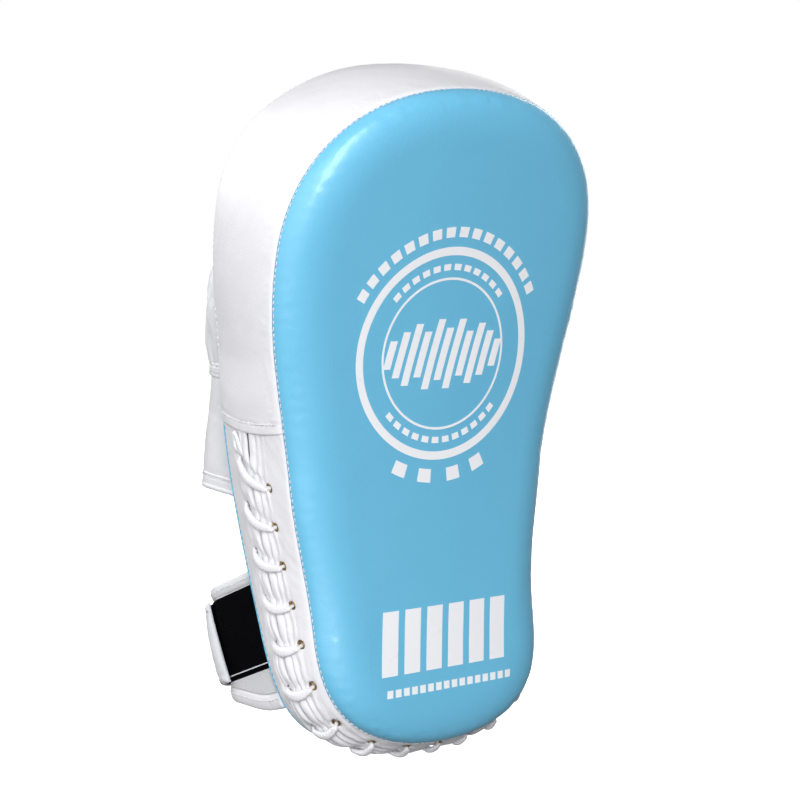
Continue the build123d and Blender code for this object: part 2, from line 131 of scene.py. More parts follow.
def flat_wall(u, share):
    """Point on the wall without its swell."""
    u, share = np.broadcast_arrays(np.asarray(u, float), np.asarray(share, float))
    y = np.full(u.shape, (FACE_PLANE + BACK_PLANE) / 2)
    for _ in range(7):
        x, z = outline(u, y)
        y = share_depth(z, share)
    return np.stack([x, y, z], -1)


def unit(v):
    return v / np.maximum(np.linalg.norm(v, axis=-1, keepdims=True), 1e-12)


def wall(u, share, proud=0.0):
    """Point on the swollen wall, moved out by proud, and the wall's outward normal."""
    u, share, proud = np.broadcast_arrays(*(np.asarray(value, float) for value in (u, share, proud)))
    step = 0.004
    along = flat_wall(u + step, share) - flat_wall(u - step, share)
    across = flat_wall(u, share + step) - flat_wall(u, share - step)
    normal = unit(np.cross(across, along))
    swell = WALL_BULGE * 4 * np.clip(share, 0, 1) * (1 - np.clip(share, 0, 1))
    return flat_wall(u, share) + normal * (swell + proud)[..., None], normal


def distances(path):
    """Distance along a polyline at each of its points."""
    return np.concatenate([[0], np.cumsum(np.linalg.norm(np.diff(path, axis=0), axis=1))])


MID_WALL_U = np.linspace(0, 8, 8001)
MID_WALL_LENGTH = distances(flat_wall(MID_WALL_U, 0.5))
ROUND_LENGTH = MID_WALL_LENGTH[-1]


def u_at(along):
    """Outline parameter at a distance from the middle of the base, positive up the right side."""
    return np.interp(np.mod(along, ROUND_LENGTH), MID_WALL_LENGTH, MID_WALL_U)


def along_of(u):
    """Distance from the middle of the base, from minus half to plus half of the way round."""
    d = np.interp(np.mod(u, 8.0), MID_WALL_U, MID_WALL_LENGTH)
    return np.where(d > ROUND_LENGTH / 2, d - ROUND_LENGTH, d)


def smooth(t):
    t = np.clip(t, 0, 1)
    return t * t * (3 - 2 * t)


def bell(distance, width):
    """A smooth bump of height 1 that dies out over a width."""
    return np.exp(-((distance / width) ** 2))


def rounded(t):
    """Rises from 0 to 1 like the side of a round edge."""
    return np.sqrt(1 - (1 - np.clip(t, 0, 1)) ** 2)


def ripple(points, size, seed, octaves=3):
    """Smooth noise from sums of waves in seeded directions, between about -1 and 1."""
    r = np.random.default_rng(seed)
    total = np.zeros(points.shape[:-1])
    weight = 0.0
    for octave in range(octaves):
        for _ in range(6):
            direction = unit(r.normal(size=3))
            phase = r.uniform(0, 2 * math.pi)
            wave = size / 2**octave * r.uniform(0.7, 1.4)
            bend = np.sin(points @ unit(r.normal(size=3)) * 2 * math.pi / (wave * 2.3) + phase * 2)
            total += np.sin(points @ direction * 2 * math.pi / wave + phase + bend * 1.3) / 2**octave
            weight += 1 / 2**octave
    return total / weight * 2.2


# ---- meshes ----

def make_object(name, vertices, faces, uv=None, material=None):
    """A mesh object from millimetre points."""
    mesh = bpy.data.meshes.new(name)
    faces = faces if isinstance(faces, list) else faces.tolist()
    mesh.from_pydata((np.asarray(vertices) * MM).tolist(), [], faces)
    mesh.update()
    if uv is not None:
        layer = mesh.uv_layers.new(name="UVMap")
        index = np.zeros(len(mesh.loops), np.int32)
        mesh.loops.foreach_get("vertex_index", index)
        layer.data.foreach_set("uv", (np.asarray(uv)[index] * MM).astype(np.float32).ravel())
    mesh.polygons.foreach_set("use_smooth", [True] * len(mesh.polygons))
    mesh.materials.append(material)
    piece = bpy.data.objects.new(name, mesh)
    bpy.context.scene.collection.objects.link(piece)
    return piece


def grid_faces(rows, columns, wrap=False, start=0, flip=False):
    """Quads of a grid of points, whose columns may close into a ring."""
    r, c = np.meshgrid(np.arange(rows - 1), np.arange(columns if wrap else columns - 1), indexing="ij")
    here = r * columns + c
    beside = r * columns + (c + 1) % columns
    quads = np.stack([here, beside, beside + columns, here + columns], -1).reshape(-1, 4)
    return (quads[:, ::-1] if flip else quads) + start


def sheet(outer, inner, wrap=False, flip=False):
    """Vertices and faces of a closed panel between an outer and an inner grid of points."""
    rows, columns = outer.shape[:2]
    count = rows * columns
    quads = [grid_faces(rows, columns, wrap, 0, flip), grid_faces(rows, columns, wrap, count, not flip)]
    around = np.arange(columns + 1) % columns if wrap else np.arange(columns)
    rims = [(around, flip), (around + count - columns, not flip)]
    if not wrap:
        down = np.arange(rows) * columns
        rims += [(down, not flip), (down + columns - 1, flip)]
    for rim, turned in rims:
        side = np.stack([rim[:-1], rim[1:], count + rim[1:], count + rim[:-1]], -1)
        quads.append(side if turned else side[:, ::-1])
    return np.concatenate([outer.reshape(-1, 3), inner.reshape(-1, 3)]), np.concatenate(quads)


def sheet_object(name, outer, inner, material, uv=None, wrap=False, flip=False):
    vertices, faces = sheet(outer, inner, wrap, flip)
    if uv is not None:
        uv = np.tile(uv.reshape(-1, 2), (2, 1))
    return make_object(name, vertices, faces, uv, material)


def tube_points(path, radius, sides=10, flat=1.0, up=None):
    """Rings of points along a path, and their faces. flat squeezes the section along up."""
    path = np.asarray(path, float)
    count = len(path)
    radius = np.broadcast_to(np.asarray(radius, float), (count,))
    tangent = unit(np.gradient(path, axis=0))
    if up is None:
        frames = [unit(np.cross(tangent[0], [0.3, 0.2, 1.0]))]
        for i in range(1, count):
            previous = frames[-1]
            frames.append(unit(previous - tangent[i] * (previous @ tangent[i])))
        first = np.array(frames)
    else:
        first = unit(up - tangent * np.sum(up * tangent, -1, keepdims=True))
    second = np.cross(tangent, first)
    angle = np.linspace(0, 2 * math.pi, sides, endpoint=False)
    cosine, sine = np.cos(angle)[None, :, None], np.sin(angle)[None, :, None]
    ring = first[:, None] * cosine * flat + second[:, None] * sine
    vertices = (path[:, None] + ring * radius[:, None, None]).reshape(-1, 3)
    faces = grid_faces(count, sides, True).tolist()
    faces.append(list(range(sides))[::-1])
    faces.append(list(range((count - 1) * sides, count * sides)))
    return vertices, faces


def joined(parts):
    """Several (vertices, faces) as one."""
    vertices, faces, start = [], [], 0
    for v, f in parts:
        vertices.append(v)
        faces += [[int(i) + start for i in face] for face in f]
        start += len(v)
    return np.concatenate(vertices), faces


def closed(path):
    """The path with its first point again at its end."""
    return np.concatenate([path, path[:1]])


def resampled(path, step):
    """Even steps along a polyline, with extra columns such as normals carried along."""
    path = np.asarray(path, float)
    d = distances(path[:, :3])
    count = max(2, int(round(d[-1] / step)) + 1)
    at = np.linspace(0, d[-1], count)
    return np.stack([np.interp(at, d, path[:, k]) for k in range(path.shape[1])], 1)


HEM_STITCH = (3.9, 2.7, 0.36)  # pitch, length, thread radius
BOX_STITCH = (3.6, 2.6, 0.36)


def stitch_row(path, normals, pitch, length, radius, sink=0.2):
    """Thread stitches that rise out of the leather and dive back into it along a path."""
    both = resampled(np.concatenate([path, normals], 1), pitch)
    points, normal = both[:, :3], unit(both[:, 3:])
    direction = unit(np.gradient(points, axis=0))
    t = np.linspace(-1, 1, 6)
    lift = radius * 0.75 - (sink + radius) * t**4
    parts = []
    for i in range(len(points) - 1):
        out = unit(normal[i] + normal[i + 1])
        middle = (points[i] + points[i + 1]) / 2
        centre = middle + direction[i] * (t * length / 2)[:, None] + out * lift[:, None]
        parts.append(tube_points(centre, radius * (1 - 0.25 * t**4), 6))
    return joined(parts)


def add_stitches(rows, name, body):
    """One object with every stitch of several rows."""
    finish_piece(make_object(name, *joined(rows), None, THREAD), body=body)


# ---- materials ----

class Shader:
    """A node material with short ways to add and link nodes."""

    def __init__(self, name):
        self.material = bpy.data.materials.new(name)
        self.material.use_nodes = True
        self.tree = self.material.node_tree
        self.surface = self.tree.nodes["Principled BSDF"]

    def add(self, kind, properties=None, **inputs):
        node = self.tree.nodes.new(kind)
        for key, value in (properties or {}).items():
            setattr(node, key, value)
        for key, value in inputs.items():
            self.put(node, key.replace("_", " "), value)
        return node

    def put(self, node, key, value):
        socket = node.inputs[int(key[1:])] if key[0] == "#" else node.inputs[key]
        if isinstance(value, bpy.types.NodeSocket):
            self.tree.links.new(value, socket)
        else:
            socket.default_value = value

    def math(self, operation, a, b=0.0, clamp=False):
        node = self.tree.nodes.new("ShaderNodeMath")
        node.operation = operation
        node.use_clamp = clamp
        self.put(node, "#0", a)
        self.put(node, "#1", b)
        return node.outputs[0]

    def times(self, a, b):
        return self.math("MULTIPLY", a, b)

    def plus(self, a, b, clamp=False):
        return self.math("ADD", a, b, clamp)

    def mix(self, factor, a, b):
        node = self.tree.nodes.new("ShaderNodeMix")
        node.data_type = "RGBA"
        self.put(node, "#0", factor)
        self.put(node, "#6", a)
        self.put(node, "#7", b)
        return node.outputs[2]

    def ramp(self, value, low, high):
        node = self.add("ShaderNodeMapRange", {"clamp": True})
        self.put(node, "#0", value)
        self.put(node, "#1", low)
        self.put(node, "#2", high)
        return node.outputs[0]

    def coordinates(self, kind="Object"):
        return self.add("ShaderNodeTexCoord").outputs[kind]

    def noise(self, coordinates, scale, detail=4.0, roughness=0.55):
        node = self.add("ShaderNodeTexNoise", Scale=scale, Detail=detail, Roughness=roughness,
                        Vector=coordinates)
        return node.outputs["Fac"]

    def bump(self, height, distance, strength=1.0, normal=None):
        node = self.add("ShaderNodeBump", Height=height, Distance=distance, Strength=strength)
        if normal is not None:
            self.put(node, "Normal", normal)
        return node.outputs["Normal"]

    def finish(self, **inputs):
        for key, value in inputs.items():
            self.put(self.surface, key.replace("_", " "), value)
        return self.material


def leather(name, colour, deep, roughness, coat):
    """Coated leather: fine pebbled grain, faint creases, small random changes of tone and gloss, and painted
    shade in the valleys between the grain's pebbles.
    """
    s = Shader(name)
    at = s.coordinates()
    edges = s.add("ShaderNodeTexVoronoi", {"feature": "DISTANCE_TO_EDGE"}, Scale=900.0, Vector=at)
    pores = s.ramp(edges.outputs["Distance"], 0.0, 0.25)
    crease = s.noise(at, 260.0, 6.0, 0.6)
    swell = s.noise(at, 28.0, 3.0, 0.5)
    tone = s.times(s.ramp(s.noise(at, 9.0, 3.0), 0.35, 0.7), 0.55)
    # Colour mix: random tone, plus painted shade that darkens the valleys between the grain's pebbles.
    tone_and_pore_shade = s.plus(tone, s.times(s.math("SUBTRACT", 1.0, pores), 0.25), clamp=True)
    normal = s.bump(swell, 0.0006, 0.35)
    normal = s.bump(crease, 0.00018, 0.6, normal)
    normal = s.bump(pores, 0.00007, 0.7, normal)
    rough = s.plus(roughness - 0.05, s.times(swell, 0.05))
    rough = s.plus(s.times(crease, 0.10), rough)
    return s.finish(Base_Color=s.mix(tone_and_pore_shade, colour, deep), Roughness=rough, Normal=normal, Coat_Weight=coat,
                    Coat_Roughness=0.22, Specular_IOR_Level=0.5)


def woven(name, colour, deep, thread, depth=0.00025, slanted=False):
    """Woven tape or cloth, its threads laid along the piece's own UV axes, with painted shade in the hollows
    between the threads.
    """
    s = Shader(name)
    at = s.add("ShaderNodeSeparateXYZ", Vector=s.coordinates("UV"))
    u, v = at.outputs[0], at.outputs[1]
    if slanted:
        u, v = s.plus(u, v), s.math("SUBTRACT", u, s.times(v, 0.6))
    turn = 2 * math.pi / (thread * MM)
    warp = s.math("SINE", s.times(u, turn))
    weft = s.math("SINE", s.times(v, turn))
    ribs = s.math("MAXIMUM", s.math("ABSOLUTE", warp), s.math("ABSOLUTE", weft))
    height = s.plus(s.times(s.times(warp, weft), 0.5), ribs)
    height = s.plus(height, s.times(s.noise(s.coordinates(), 900.0, 3.0, 0.7), 0.5))
    # Colour: painted shade darkens the hollows between the threads; the noise adds random tone.
    base = s.mix(s.ramp(height, 0.1, 1.5), deep, colour)
    return s.finish(Base_Color=base, Roughness=0.75, Normal=s.bump(height, depth, 0.8), Sheen_Weight=0.3,
                    Specular_IOR_Level=0.3)


def tape_pile(name, colour, deep):
    """The fuzzy face of hook and loop tape, with painted shade in the hollows of its pile."""
    s = Shader(name)
    at = s.coordinates()
    loops = s.add("ShaderNodeTexVoronoi", {"feature": "F1"}, Scale=1100.0, Randomness=1.0, Vector=at)
    fuzz = s.noise(at, 2200.0, 5.0, 0.75)
    drift = s.noise(at, 60.0, 3.0, 0.6)
    height = s.plus(loops.outputs["Distance"], s.times(fuzz, 0.8))
    # Colour: painted shade darkens the hollows of the pile, scaled by a random drift in tone.
    base = s.mix(s.ramp(s.times(height, s.plus(drift, 0.5)), 0.3, 1.4), deep, colour)
    return s.finish(Base_Color=base, Roughness=0.95, Normal=s.bump(height, 0.0004, 0.8),
                    Specular_IOR_Level=0.03)


def thread_finish(name, colour, deep):
    """Twisted thread or cord, with painted shade in the grooves of its twist."""
    s = Shader(name)
    at = s.coordinates()
    bands = {"wave_type": "BANDS", "bands_direction": "DIAGONAL"}
    twist = s.add("ShaderNodeTexWave", bands, Scale=520.0, Distortion=1.5, Detail=2.0, Vector=at)
    height = s.plus(twist.outputs["Fac"], s.times(s.noise(at, 1500.0, 4.0, 0.6), 0.4))
    # Colour: painted shade darkens the grooves of the twist; the noise adds random tone.
    base = s.mix(s.ramp(height, 0.2, 1.1), deep, colour)
    return s.finish(Base_Color=base, Roughness=0.6, Normal=s.bump(height, 0.00012, 0.7), Sheen_Weight=0.2)


def braid(name, colour, deep):
    """Braided lace: two families of strands that cross along the lace, with painted shade where the strands
    dip under each other.
    """
    s = Shader(name)
    at = s.add("ShaderNodeSeparateXYZ", Vector=s.coordinates("UV"))
    u, v = at.outputs[0], at.outputs[1]
    turn = 2 * math.pi / (2.2 * MM)
    one = s.math("SINE", s.times(s.plus(u, v), turn))
    two = s.math("SINE", s.times(s.math("SUBTRACT", u, v), turn))
    height = s.math("MAXIMUM", one, two)
    height = s.plus(height, s.times(s.noise(s.coordinates(), 1300.0, 3.0, 0.6), 0.5))
    # Colour: painted shade darkens where the strands dip; the noise adds random tone.
    base = s.mix(s.ramp(height, -0.2, 1.2), deep, colour)
    return s.finish(Base_Color=base, Roughness=0.6, Normal=s.bump(height, 0.00012, 0.5), Sheen_Weight=0.15)


def aged_brass(name):
    """Brass with patches of brown tarnish and fine scratches."""
    s = Shader(name)
    at = s.coordinates()
    tarnish = s.ramp(s.noise(at, 420.0, 5.0, 0.65), 0.4, 0.65)
    base = s.mix(tarnish, (0.62, 0.45, 0.22, 1), (0.16, 0.11, 0.06, 1))
    rough = s.plus(0.24, s.times(tarnish, 0.25))
    scratches = s.noise(at, 1800.0, 3.0, 0.7)
    return s.finish(Base_Color=base, Roughness=rough, Metallic=1.0, Normal=s.bump(scratches, 0.00005, 0.5))


def printed(name, colour, deep):
    """Screen printed ink on leather: a slightly matte film that follows the grain."""
    s = Shader(name)
    at = s.coordinates()
    grain = s.noise(at, 700.0, 5.0, 0.6)
    wear = s.ramp(s.noise(at, 160.0, 4.0, 0.7), 0.62, 0.8)
    base = s.mix(s.times(wear, 0.5), colour, deep)
    rough = s.plus(0.38, s.times(grain, 0.12))
    return s.finish(Base_Color=base, Roughness=rough, Normal=s.bump(grain, 0.00008, 0.6))


# The second colour of each material is a darker tone. For the leathers, cloths, tape, thread and lace it
# shows as random tone and as painted shade in the texture's hollows; for the ink it is the blue of worn
# print.
BLUE = leather("blue_leather", (0.160, 0.545, 0.800, 1), (0.138, 0.495, 0.750, 1), 0.40, 0.55)
WHITE = leather("white_leather", (0.800, 0.798, 0.828, 1), (0.745, 0.743, 0.780, 1), 0.42, 0.08)
LINING = woven("lining_cloth", (0.78, 0.79, 0.82, 1), (0.55, 0.56, 0.60, 1), 0.9)
WEBBING = woven("webbing_cloth", (0.86, 0.86, 0.89, 1), (0.60, 0.60, 0.65, 1), 1.3, 0.0004, True)
PILE = tape_pile("loop_tape_black", (0.002, 0.002, 0.003, 1), (0.0005, 0.0005, 0.001, 1))
THREAD = thread_finish("white_thread", (0.84, 0.84, 0.87, 1), (0.55, 0.55, 0.60, 1))
LACE = braid("lace_braid", (0.88, 0.88, 0.91, 1), (0.74, 0.74, 0.79, 1))
STRAP_CLOTH = woven("strap_cloth", (0.84, 0.84, 0.88, 1), (0.62, 0.62, 0.67, 1), 1.1, 0.0003)
BRASS = aged_brass("aged_brass")
INK = printed("white_ink", (0.93, 0.94, 0.98, 1), (0.60, 0.72, 0.84, 1))


# ---- camera, lights and floor ----

CAMERA_AZIMUTH = math.radians(-38.571)
CAMERA_ELEVATION = math.radians(8.019)
CAMERA_TILT = math.radians(-2.396)
CAMERA_TARGET = Vector((0, -0.060, 0))
CAMERA_DISTANCE = 1.0
CAMERA_LENS = 77.4
CAMERA_SHIFT = (-0.0254, 0.0398)

WORLD_LIGHT = 0.21
FLOOR_Z = -0.215
FLOOR_GLOW = 0.85
STUDIO_LIGHTS = [  # name, place, aim, width and height, watts
    ("key", (-0.62, -0.98, 0.50), (0, -0.04, 0.03), (0.34, 0.90), 11.0),
    ("left_panel", (-1.25, -0.75, 0.25), (0, -0.03, 0), (1.3, 1.6), 8.6),
    ("side", (-1.3, 0.25, 0.3), (0, 0, 0), (0.8, 1.2), 3.0),
    ("back_wash", (-0.6, 1.5, 0.7), (0, 0.02, 0), (1.2, 1.2), 16.0),
    ("right_fill", (1.3, 0.75, 0.3), (0, 0, 0), (1.0, 1.2), 9.0),
    ("top", (-0.1, 0.1, 1.6), (0, 0, 0), (0.9, 0.9), 1.8),
]
FLOOR_REACH = 6.0
BACKDROP_RADIUS = 7.0


def make_camera():
    """The camera of the reference view."""
    a, e, tilt = CAMERA_AZIMUTH, CAMERA_ELEVATION, CAMERA_TILT
    back = Vector((math.sin(a) * math.cos(e), -math.cos(a) * math.cos(e), math.sin(e)))
    right = Vector((math.cos(a), math.sin(a), 0))
    up = Vector((-math.sin(a) * math.sin(e), math.cos(a) * math.sin(e), math.cos(e)))
    across = right * math.cos(tilt) - up * math.sin(tilt)
    above = right * math.sin(tilt) + up * math.cos(tilt)
    data = bpy.data.cameras.new("camera")
    data.sensor_width = 36
    data.lens = CAMERA_LENS
    data.shift_x, data.shift_y = CAMERA_SHIFT
    data.clip_end = 50
    camera = bpy.data.objects.new("camera", data)
    camera.matrix_world = Matrix((across, above, back)).transposed().to_4x4()
    camera.location = CAMERA_TARGET + back * CAMERA_DISTANCE
    bpy.context.scene.collection.objects.link(camera)
    bpy.context.scene.camera = camera


def area_light(name, place, aim, size, power):
    data = bpy.data.lights.new(name, "AREA")
    data.shape = "RECTANGLE"
    data.size, data.size_y = size
    data.energy = power
    light = bpy.data.objects.new(name, data)
    light.location = place
    light.rotation_mode = "QUATERNION"
    light.rotation_quaternion = (Vector(aim) - Vector(place)).to_track_quat("-Z", "Y")
    bpy.context.scene.collection.objects.link(light)


def make_studio():
    """Soft light, a pale floor, and a white backdrop that only the camera sees."""
    scene = bpy.context.scene
    world = bpy.data.worlds.new("studio")
    world.use_nodes = True
    background = world.node_tree.nodes["Background"]
    background.inputs["Color"].default_value = (1, 1, 1, 1)
    background.inputs["Strength"].default_value = WORLD_LIGHT
    scene.world = world
    scene.view_settings.view_transform = "Standard"
    for light in STUDIO_LIGHTS:
        area_light(*light)
    corners = [(x * FLOOR_REACH, y * FLOOR_REACH, FLOOR_Z) for x, y in ((-1, -1), (1, -1), (1, 1), (-1, 1))]
    mesh = bpy.data.meshes.new("floor")
    mesh.from_pydata(corners, [], [(0, 1, 2, 3)])
    floor = bpy.data.objects.new("floor", mesh)
    scene.collection.objects.link(floor)
    s = Shader("pale_floor")
    patches = s.ramp(s.noise(s.coordinates(), 3.0, 2.0), 0.2, 0.8)
    tone = s.mix(patches, (0.93, 0.93, 0.94, 1), (0.95, 0.95, 0.955, 1))
    mesh.materials.append(s.finish(Base_Color=tone, Roughness=0.9, Emission_Color=(1, 1, 1, 1),
                                   Emission_Strength=FLOOR_GLOW, Specular_IOR_Level=0.0))
    floor.visible_diffuse = False
    floor.visible_glossy = False
    bpy.ops.mesh.primitive_uv_sphere_add(segments=48, ring_count=24, radius=BACKDROP_RADIUS)
    backdrop = bpy.context.object
    backdrop.name = "backdrop"
    for kind in ("diffuse", "glossy", "transmission", "shadow", "volume_scatter"):
        setattr(backdrop, f"visible_{kind}", False)
    white = Shader("white_backdrop").finish(Base_Color=(0, 0, 0, 1), Emission_Color=(1, 1, 1, 1),
                                            Emission_Strength=1.0, Specular_IOR_Level=0.0)
    backdrop.data.materials.append(white)


# ---- shared shapes for cushions ----

CLOTH = {"quality": 6, "mass": 0.15, "tension_stiffness": 12.0, "compression_stiffness": 12.0,
         "shear_stiffness": 5, "bending_stiffness": 0.4, "use_pressure": True, "vertex_group_mass": "held"}


def inflate(piece, pinned, pressure, cap, frames, grow):
    """Swells a closed fabric mesh by cloth simulation, its pinned points held, and applies the result."""
    mesh = piece.data
    rest = np.zeros(len(mesh.vertices) * 3, np.float32)
    mesh.vertices.foreach_get("co", rest)
    group = piece.vertex_groups.new(name="held")
    group.add([int(i) for i in np.nonzero(pinned)[0]], 1.0, "REPLACE")
    cloth = piece.modifiers.new("swell", "CLOTH")
    settings = {**CLOTH, "uniform_pressure_force": pressure, "shrink_min": -grow}
    for setting, value in settings.items():
        setattr(cloth.settings, setting, value)
    cloth.settings.effector_weights.gravity = 0
    cloth.collision_settings.use_collision = False
    cloth.point_cache.frame_start = 1
    cloth.point_cache.frame_end = frames
    scene = bpy.context.scene
    for step in range(1, frames + 1):
        scene.frame_set(step)
    evaluated = piece.evaluated_get(bpy.context.evaluated_depsgraph_get())
    points = np.zeros_like(rest)
    evaluated.to_mesh().vertices.foreach_get("co", points)
    evaluated.to_mesh_clear()
    piece.modifiers.remove(cloth)
    move = np.nan_to_num((points - rest).reshape(-1, 3))
    distance = np.linalg.norm(move, axis=1, keepdims=True)
    move *= np.minimum(1, cap * MM / np.maximum(distance, 1e-9))
    mesh.vertices.foreach_set("co", rest + move.ravel())
    mesh.update()
    scene.frame_set(1)


def subdivided(piece):
    modifier = piece.modifiers.new("smooth", "SUBSURF")
    modifier.levels = 1
    modifier.render_levels = 1


def weld(piece, distance, start=0):
    """Merges the points from start on that lie within a distance, in millimetres, of each other."""
    mesh = bmesh.new()
    mesh.from_mesh(piece.data)
    bmesh.ops.remove_doubles(mesh, verts=list(mesh.verts)[start:], dist=distance * MM)
    mesh.to_mesh(piece.data)
    mesh.free()


def finish_piece(piece, nodes=(), body="pad"):
    """The bookkeeping that every piece gets."""
    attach(piece, body)
    if nodes:
        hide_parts(*nodes)


# ---- striking face and back panel ----

PANEL_THICKNESS = 1.4


def ring_columns(count, share):
    """Outline parameters at even spacing round the seam at a share of the wall's width."""
    dense = np.linspace(0, 8, 4001)
    d = distances(flat_wall(dense, share))
    return np.interp(np.arange(count) * d[-1] / count, d, dense)


def inward_of(rim):
    """Unit directions into a closed outline of (x, z) points."""
    return unit(np.roll(rim, -1, 0) - np.roll(rim, 1, 0)) @ np.array([[0, 1], [-1, 0]])


def edge_distance(flat, rim):
    """Distance of every point of a grid from a closed outline; the grid's first row lies on it."""
    run = np.roll(rim, -1, 0) - rim
    distance = np.zeros(flat.shape[:2])
    for row in range(1, len(flat)):
        offset = flat[row][:, None] - rim[None]
        t = np.clip(np.sum(offset * run[None], -1) / np.sum(run**2, 1), 0, 1)
        distance[row] = np.sqrt(np.min(np.sum((offset - run[None] * t[..., None]) ** 2, -1), 1))
    return distance


def domed_panel(name, share, arc, outward, crown, inset, gather, edge_in, columns):
    """A panel drawn in from its seam to the middle line, crowned above the arc it lies on."""
    edge = flat_wall(ring_columns(columns, share), share)
    rim = edge[:, ::2]
    low, high = edge_in
    rim = rim + inward_of(rim) * (low + (high - low) * smooth((rim[:, 1:] - SEAM_Z + 4) / 8))
    spine = np.stack([np.zeros(columns), np.clip(rim[:, 1] * 0.86, -118, 128)], 1)
    steps = np.concatenate([np.linspace(0, 1, 26) ** 1.7 * 0.34, np.linspace(0.34, 1, 26)[1:]])
    flat = rim[None] + (spine - rim)[None] * steps[:, None, None]
    distance = edge_distance(flat, rim)
    height = crown * (1 - (1 - np.clip(distance / inset, 0, 1)) ** 2.5) ** 0.55
    height += crown * 0.06 * smooth(distance / 75)
    place = np.stack([flat[..., 0], np.zeros(flat.shape[:2]), flat[..., 1]], -1)
    height += gather * ripple(place, 11.0, 3) * bell(distance - 4, 6)
    height += gather * 1.1 * ripple(place, 90.0, 5) * smooth(distance / 30)
    place[..., 1] = arc_depth(flat[..., 1], arc, outward * height)
    rows = len(steps)
    faces = grid_faces(rows, columns, True, 0, outward > 0)
    piece = make_object(name, place.reshape(-1, 3), faces, None, BLUE)
    weld(piece, 0.9, (rows - 1) * columns)
    surface = BVHTree.FromPolygons([v.co.copy() for v in piece.data.vertices],
                                   [list(p.vertices) for p in piece.data.polygons])
    solid = piece.modifiers.new("thickness", "SOLIDIFY")
    solid.thickness = PANEL_THICKNESS * MM
    solid.offset = -1
    return piece, surface


# ---- print on the face ----

PRINT_FILM = 0.08
PRINT_STEP = 1.6
EMBLEM_Z = 47.4
OUTER_RING, INNER_RING = (56.4, 61.2), (42.4, 43.8)
BLOCK_RING, CROWN_RING, FOOT_RING = (48.0, 51.6), (66.6, 72.4), (66.6, 74.4)
EMBLEM_BARS = (16, 26, 35, 26, 40, 30, 40, 26, 35, 26, 16)
LARGE_BAR_Z, SMALL_BAR_Z = -114.5, -141.5


def on_face(x, z, surface, lift):
    """Points of the face under (x, z), lifted off it."""
    points = []
    for a, b in zip(x.ravel(), z.ravel()):
        place, normal, _, _ = surface.ray_cast(Vector((a * MM, -0.4, b * MM)), Vector((0, 1, 0)))
        if normal.y > 0:
            normal = -normal
        points.append((place + normal * lift * MM) / MM)
    return np.array(points).reshape(x.shape + (3,))


def film(x, z, surface, wrap=False):
    """A thin film of ink over a grid of the face, as vertices and faces."""
    return sheet(on_face(x, z, surface, PRINT_FILM), on_face(x, z, surface, -0.3), wrap)


def turned_film(angle, radii, surface, wrap=False):
    """A film over angles from the top, clockwise, between two radii round the emblem's middle."""
    inner, outer = radii
    a, r = np.meshgrid(angle, np.linspace(inner, outer, max(2, int((outer - inner) / 2) + 1)))
    return film(r * np.sin(a), EMBLEM_Z + r * np.cos(a), surface, wrap)


def ring_film(surface, radii):
    """A whole ring."""
    sides = int(2 * math.pi * radii[1] / PRINT_STEP)
    return turned_film(np.arange(sides) / sides * 2 * math.pi, radii, surface, True)


def arc_film(surface, radii, start, end):
    """Part of a ring, its angles in degrees."""
    length = math.radians(end - start) * radii[1]
    angle = np.radians(np.linspace(start, end, max(3, int(length / PRINT_STEP) + 1)))
    return turned_film(angle, radii, surface)


def bar_film(surface, centre, half, height, slant):
    """A slanted bar with straight ends."""
    across = np.linspace(-half, half, max(3, int(half) + 1))
    up = np.linspace(-height / 2, height / 2, max(3, int(height / 2) + 1))
    a, b = np.meshgrid(across, up)
    return film(centre[0] + a + slant * b, centre[1] + b, surface)


def make_print(surface):
    """Plain rings, blocks and bars."""
    rings = [ring_film(surface, OUTER_RING), ring_film(surface, INNER_RING)]
    for side in (0, 180):
        rings += [arc_film(surface, BLOCK_RING, side + a, side + a + 5.6) for a in np.arange(-52, 50, 8.6)]
    rings += [arc_film(surface, CROWN_RING, a, a + 5.2) for a in np.arange(-64, 62, 7.9)]
    rings += [arc_film(surface, FOOT_RING, a, a + 7.5) for a in (152, 167, 184, 199)]
    bars = []
    for i, height in enumerate(EMBLEM_BARS):
        bars.append(bar_film(surface, ((i - 5) * 7.6, EMBLEM_Z), 2.5, height, 0.22))
    bars += [bar_film(surface, (-39.5 + i * 15.8, LARGE_BAR_Z), 5.6, 35, 0.16) for i in range(6)]
    bars += [bar_film(surface, (-43.5 + i * 5.8, SMALL_BAR_Z), 2.0, 4.2, 0.16) for i in range(16)]
    for name, parts in (("face_print_rings", rings), ("face_print_bars", bars)):
        piece = make_object(name, *joined(parts), None, INK)
        piece.data.set_sharp_from_angle(angle=math.radians(30))
        finish_piece(piece)


# ---- wall: gusset above, laced bands below ----

BAND_LEATHER, GUSSET_LEATHER, TONGUE_SHEET = 1.3, 1.5, 1.2  # thickness of each


def hem_line(share):
    """Height of the gusset's lower edge across the wall."""
    return SEAM_Z - 0.6 - 1.9 * np.sin(math.pi * np.clip(share, 0, 1))


def u_at_height(share, z):
    """Outline parameter on the right side where the wall at this share is at height z."""
    dense = np.linspace(1.0, 3.6, 500)
    pairs = np.broadcast(share, z)
    return np.array([np.interp(height, flat_wall(dense, s)[:, 2], dense) for s, height in pairs])


def wall_width(u):
    """Distance from the face seam to the back panel."""
    return np.linalg.norm(flat_wall(u, 1.0) - flat_wall(u, 0.0), axis=-1)


def station_offset(along):
    """Distance from the nearest lacing place, and how far between two of them, 0 to 1."""
    q = along / LACE_PITCH
    nearest = np.clip(np.round(q), -LACE_A_SIDE, LACE_A_SIDE)
    offset = (q - nearest) * LACE_PITCH
    return offset, smooth(np.abs(offset) / (LACE_PITCH / 2))


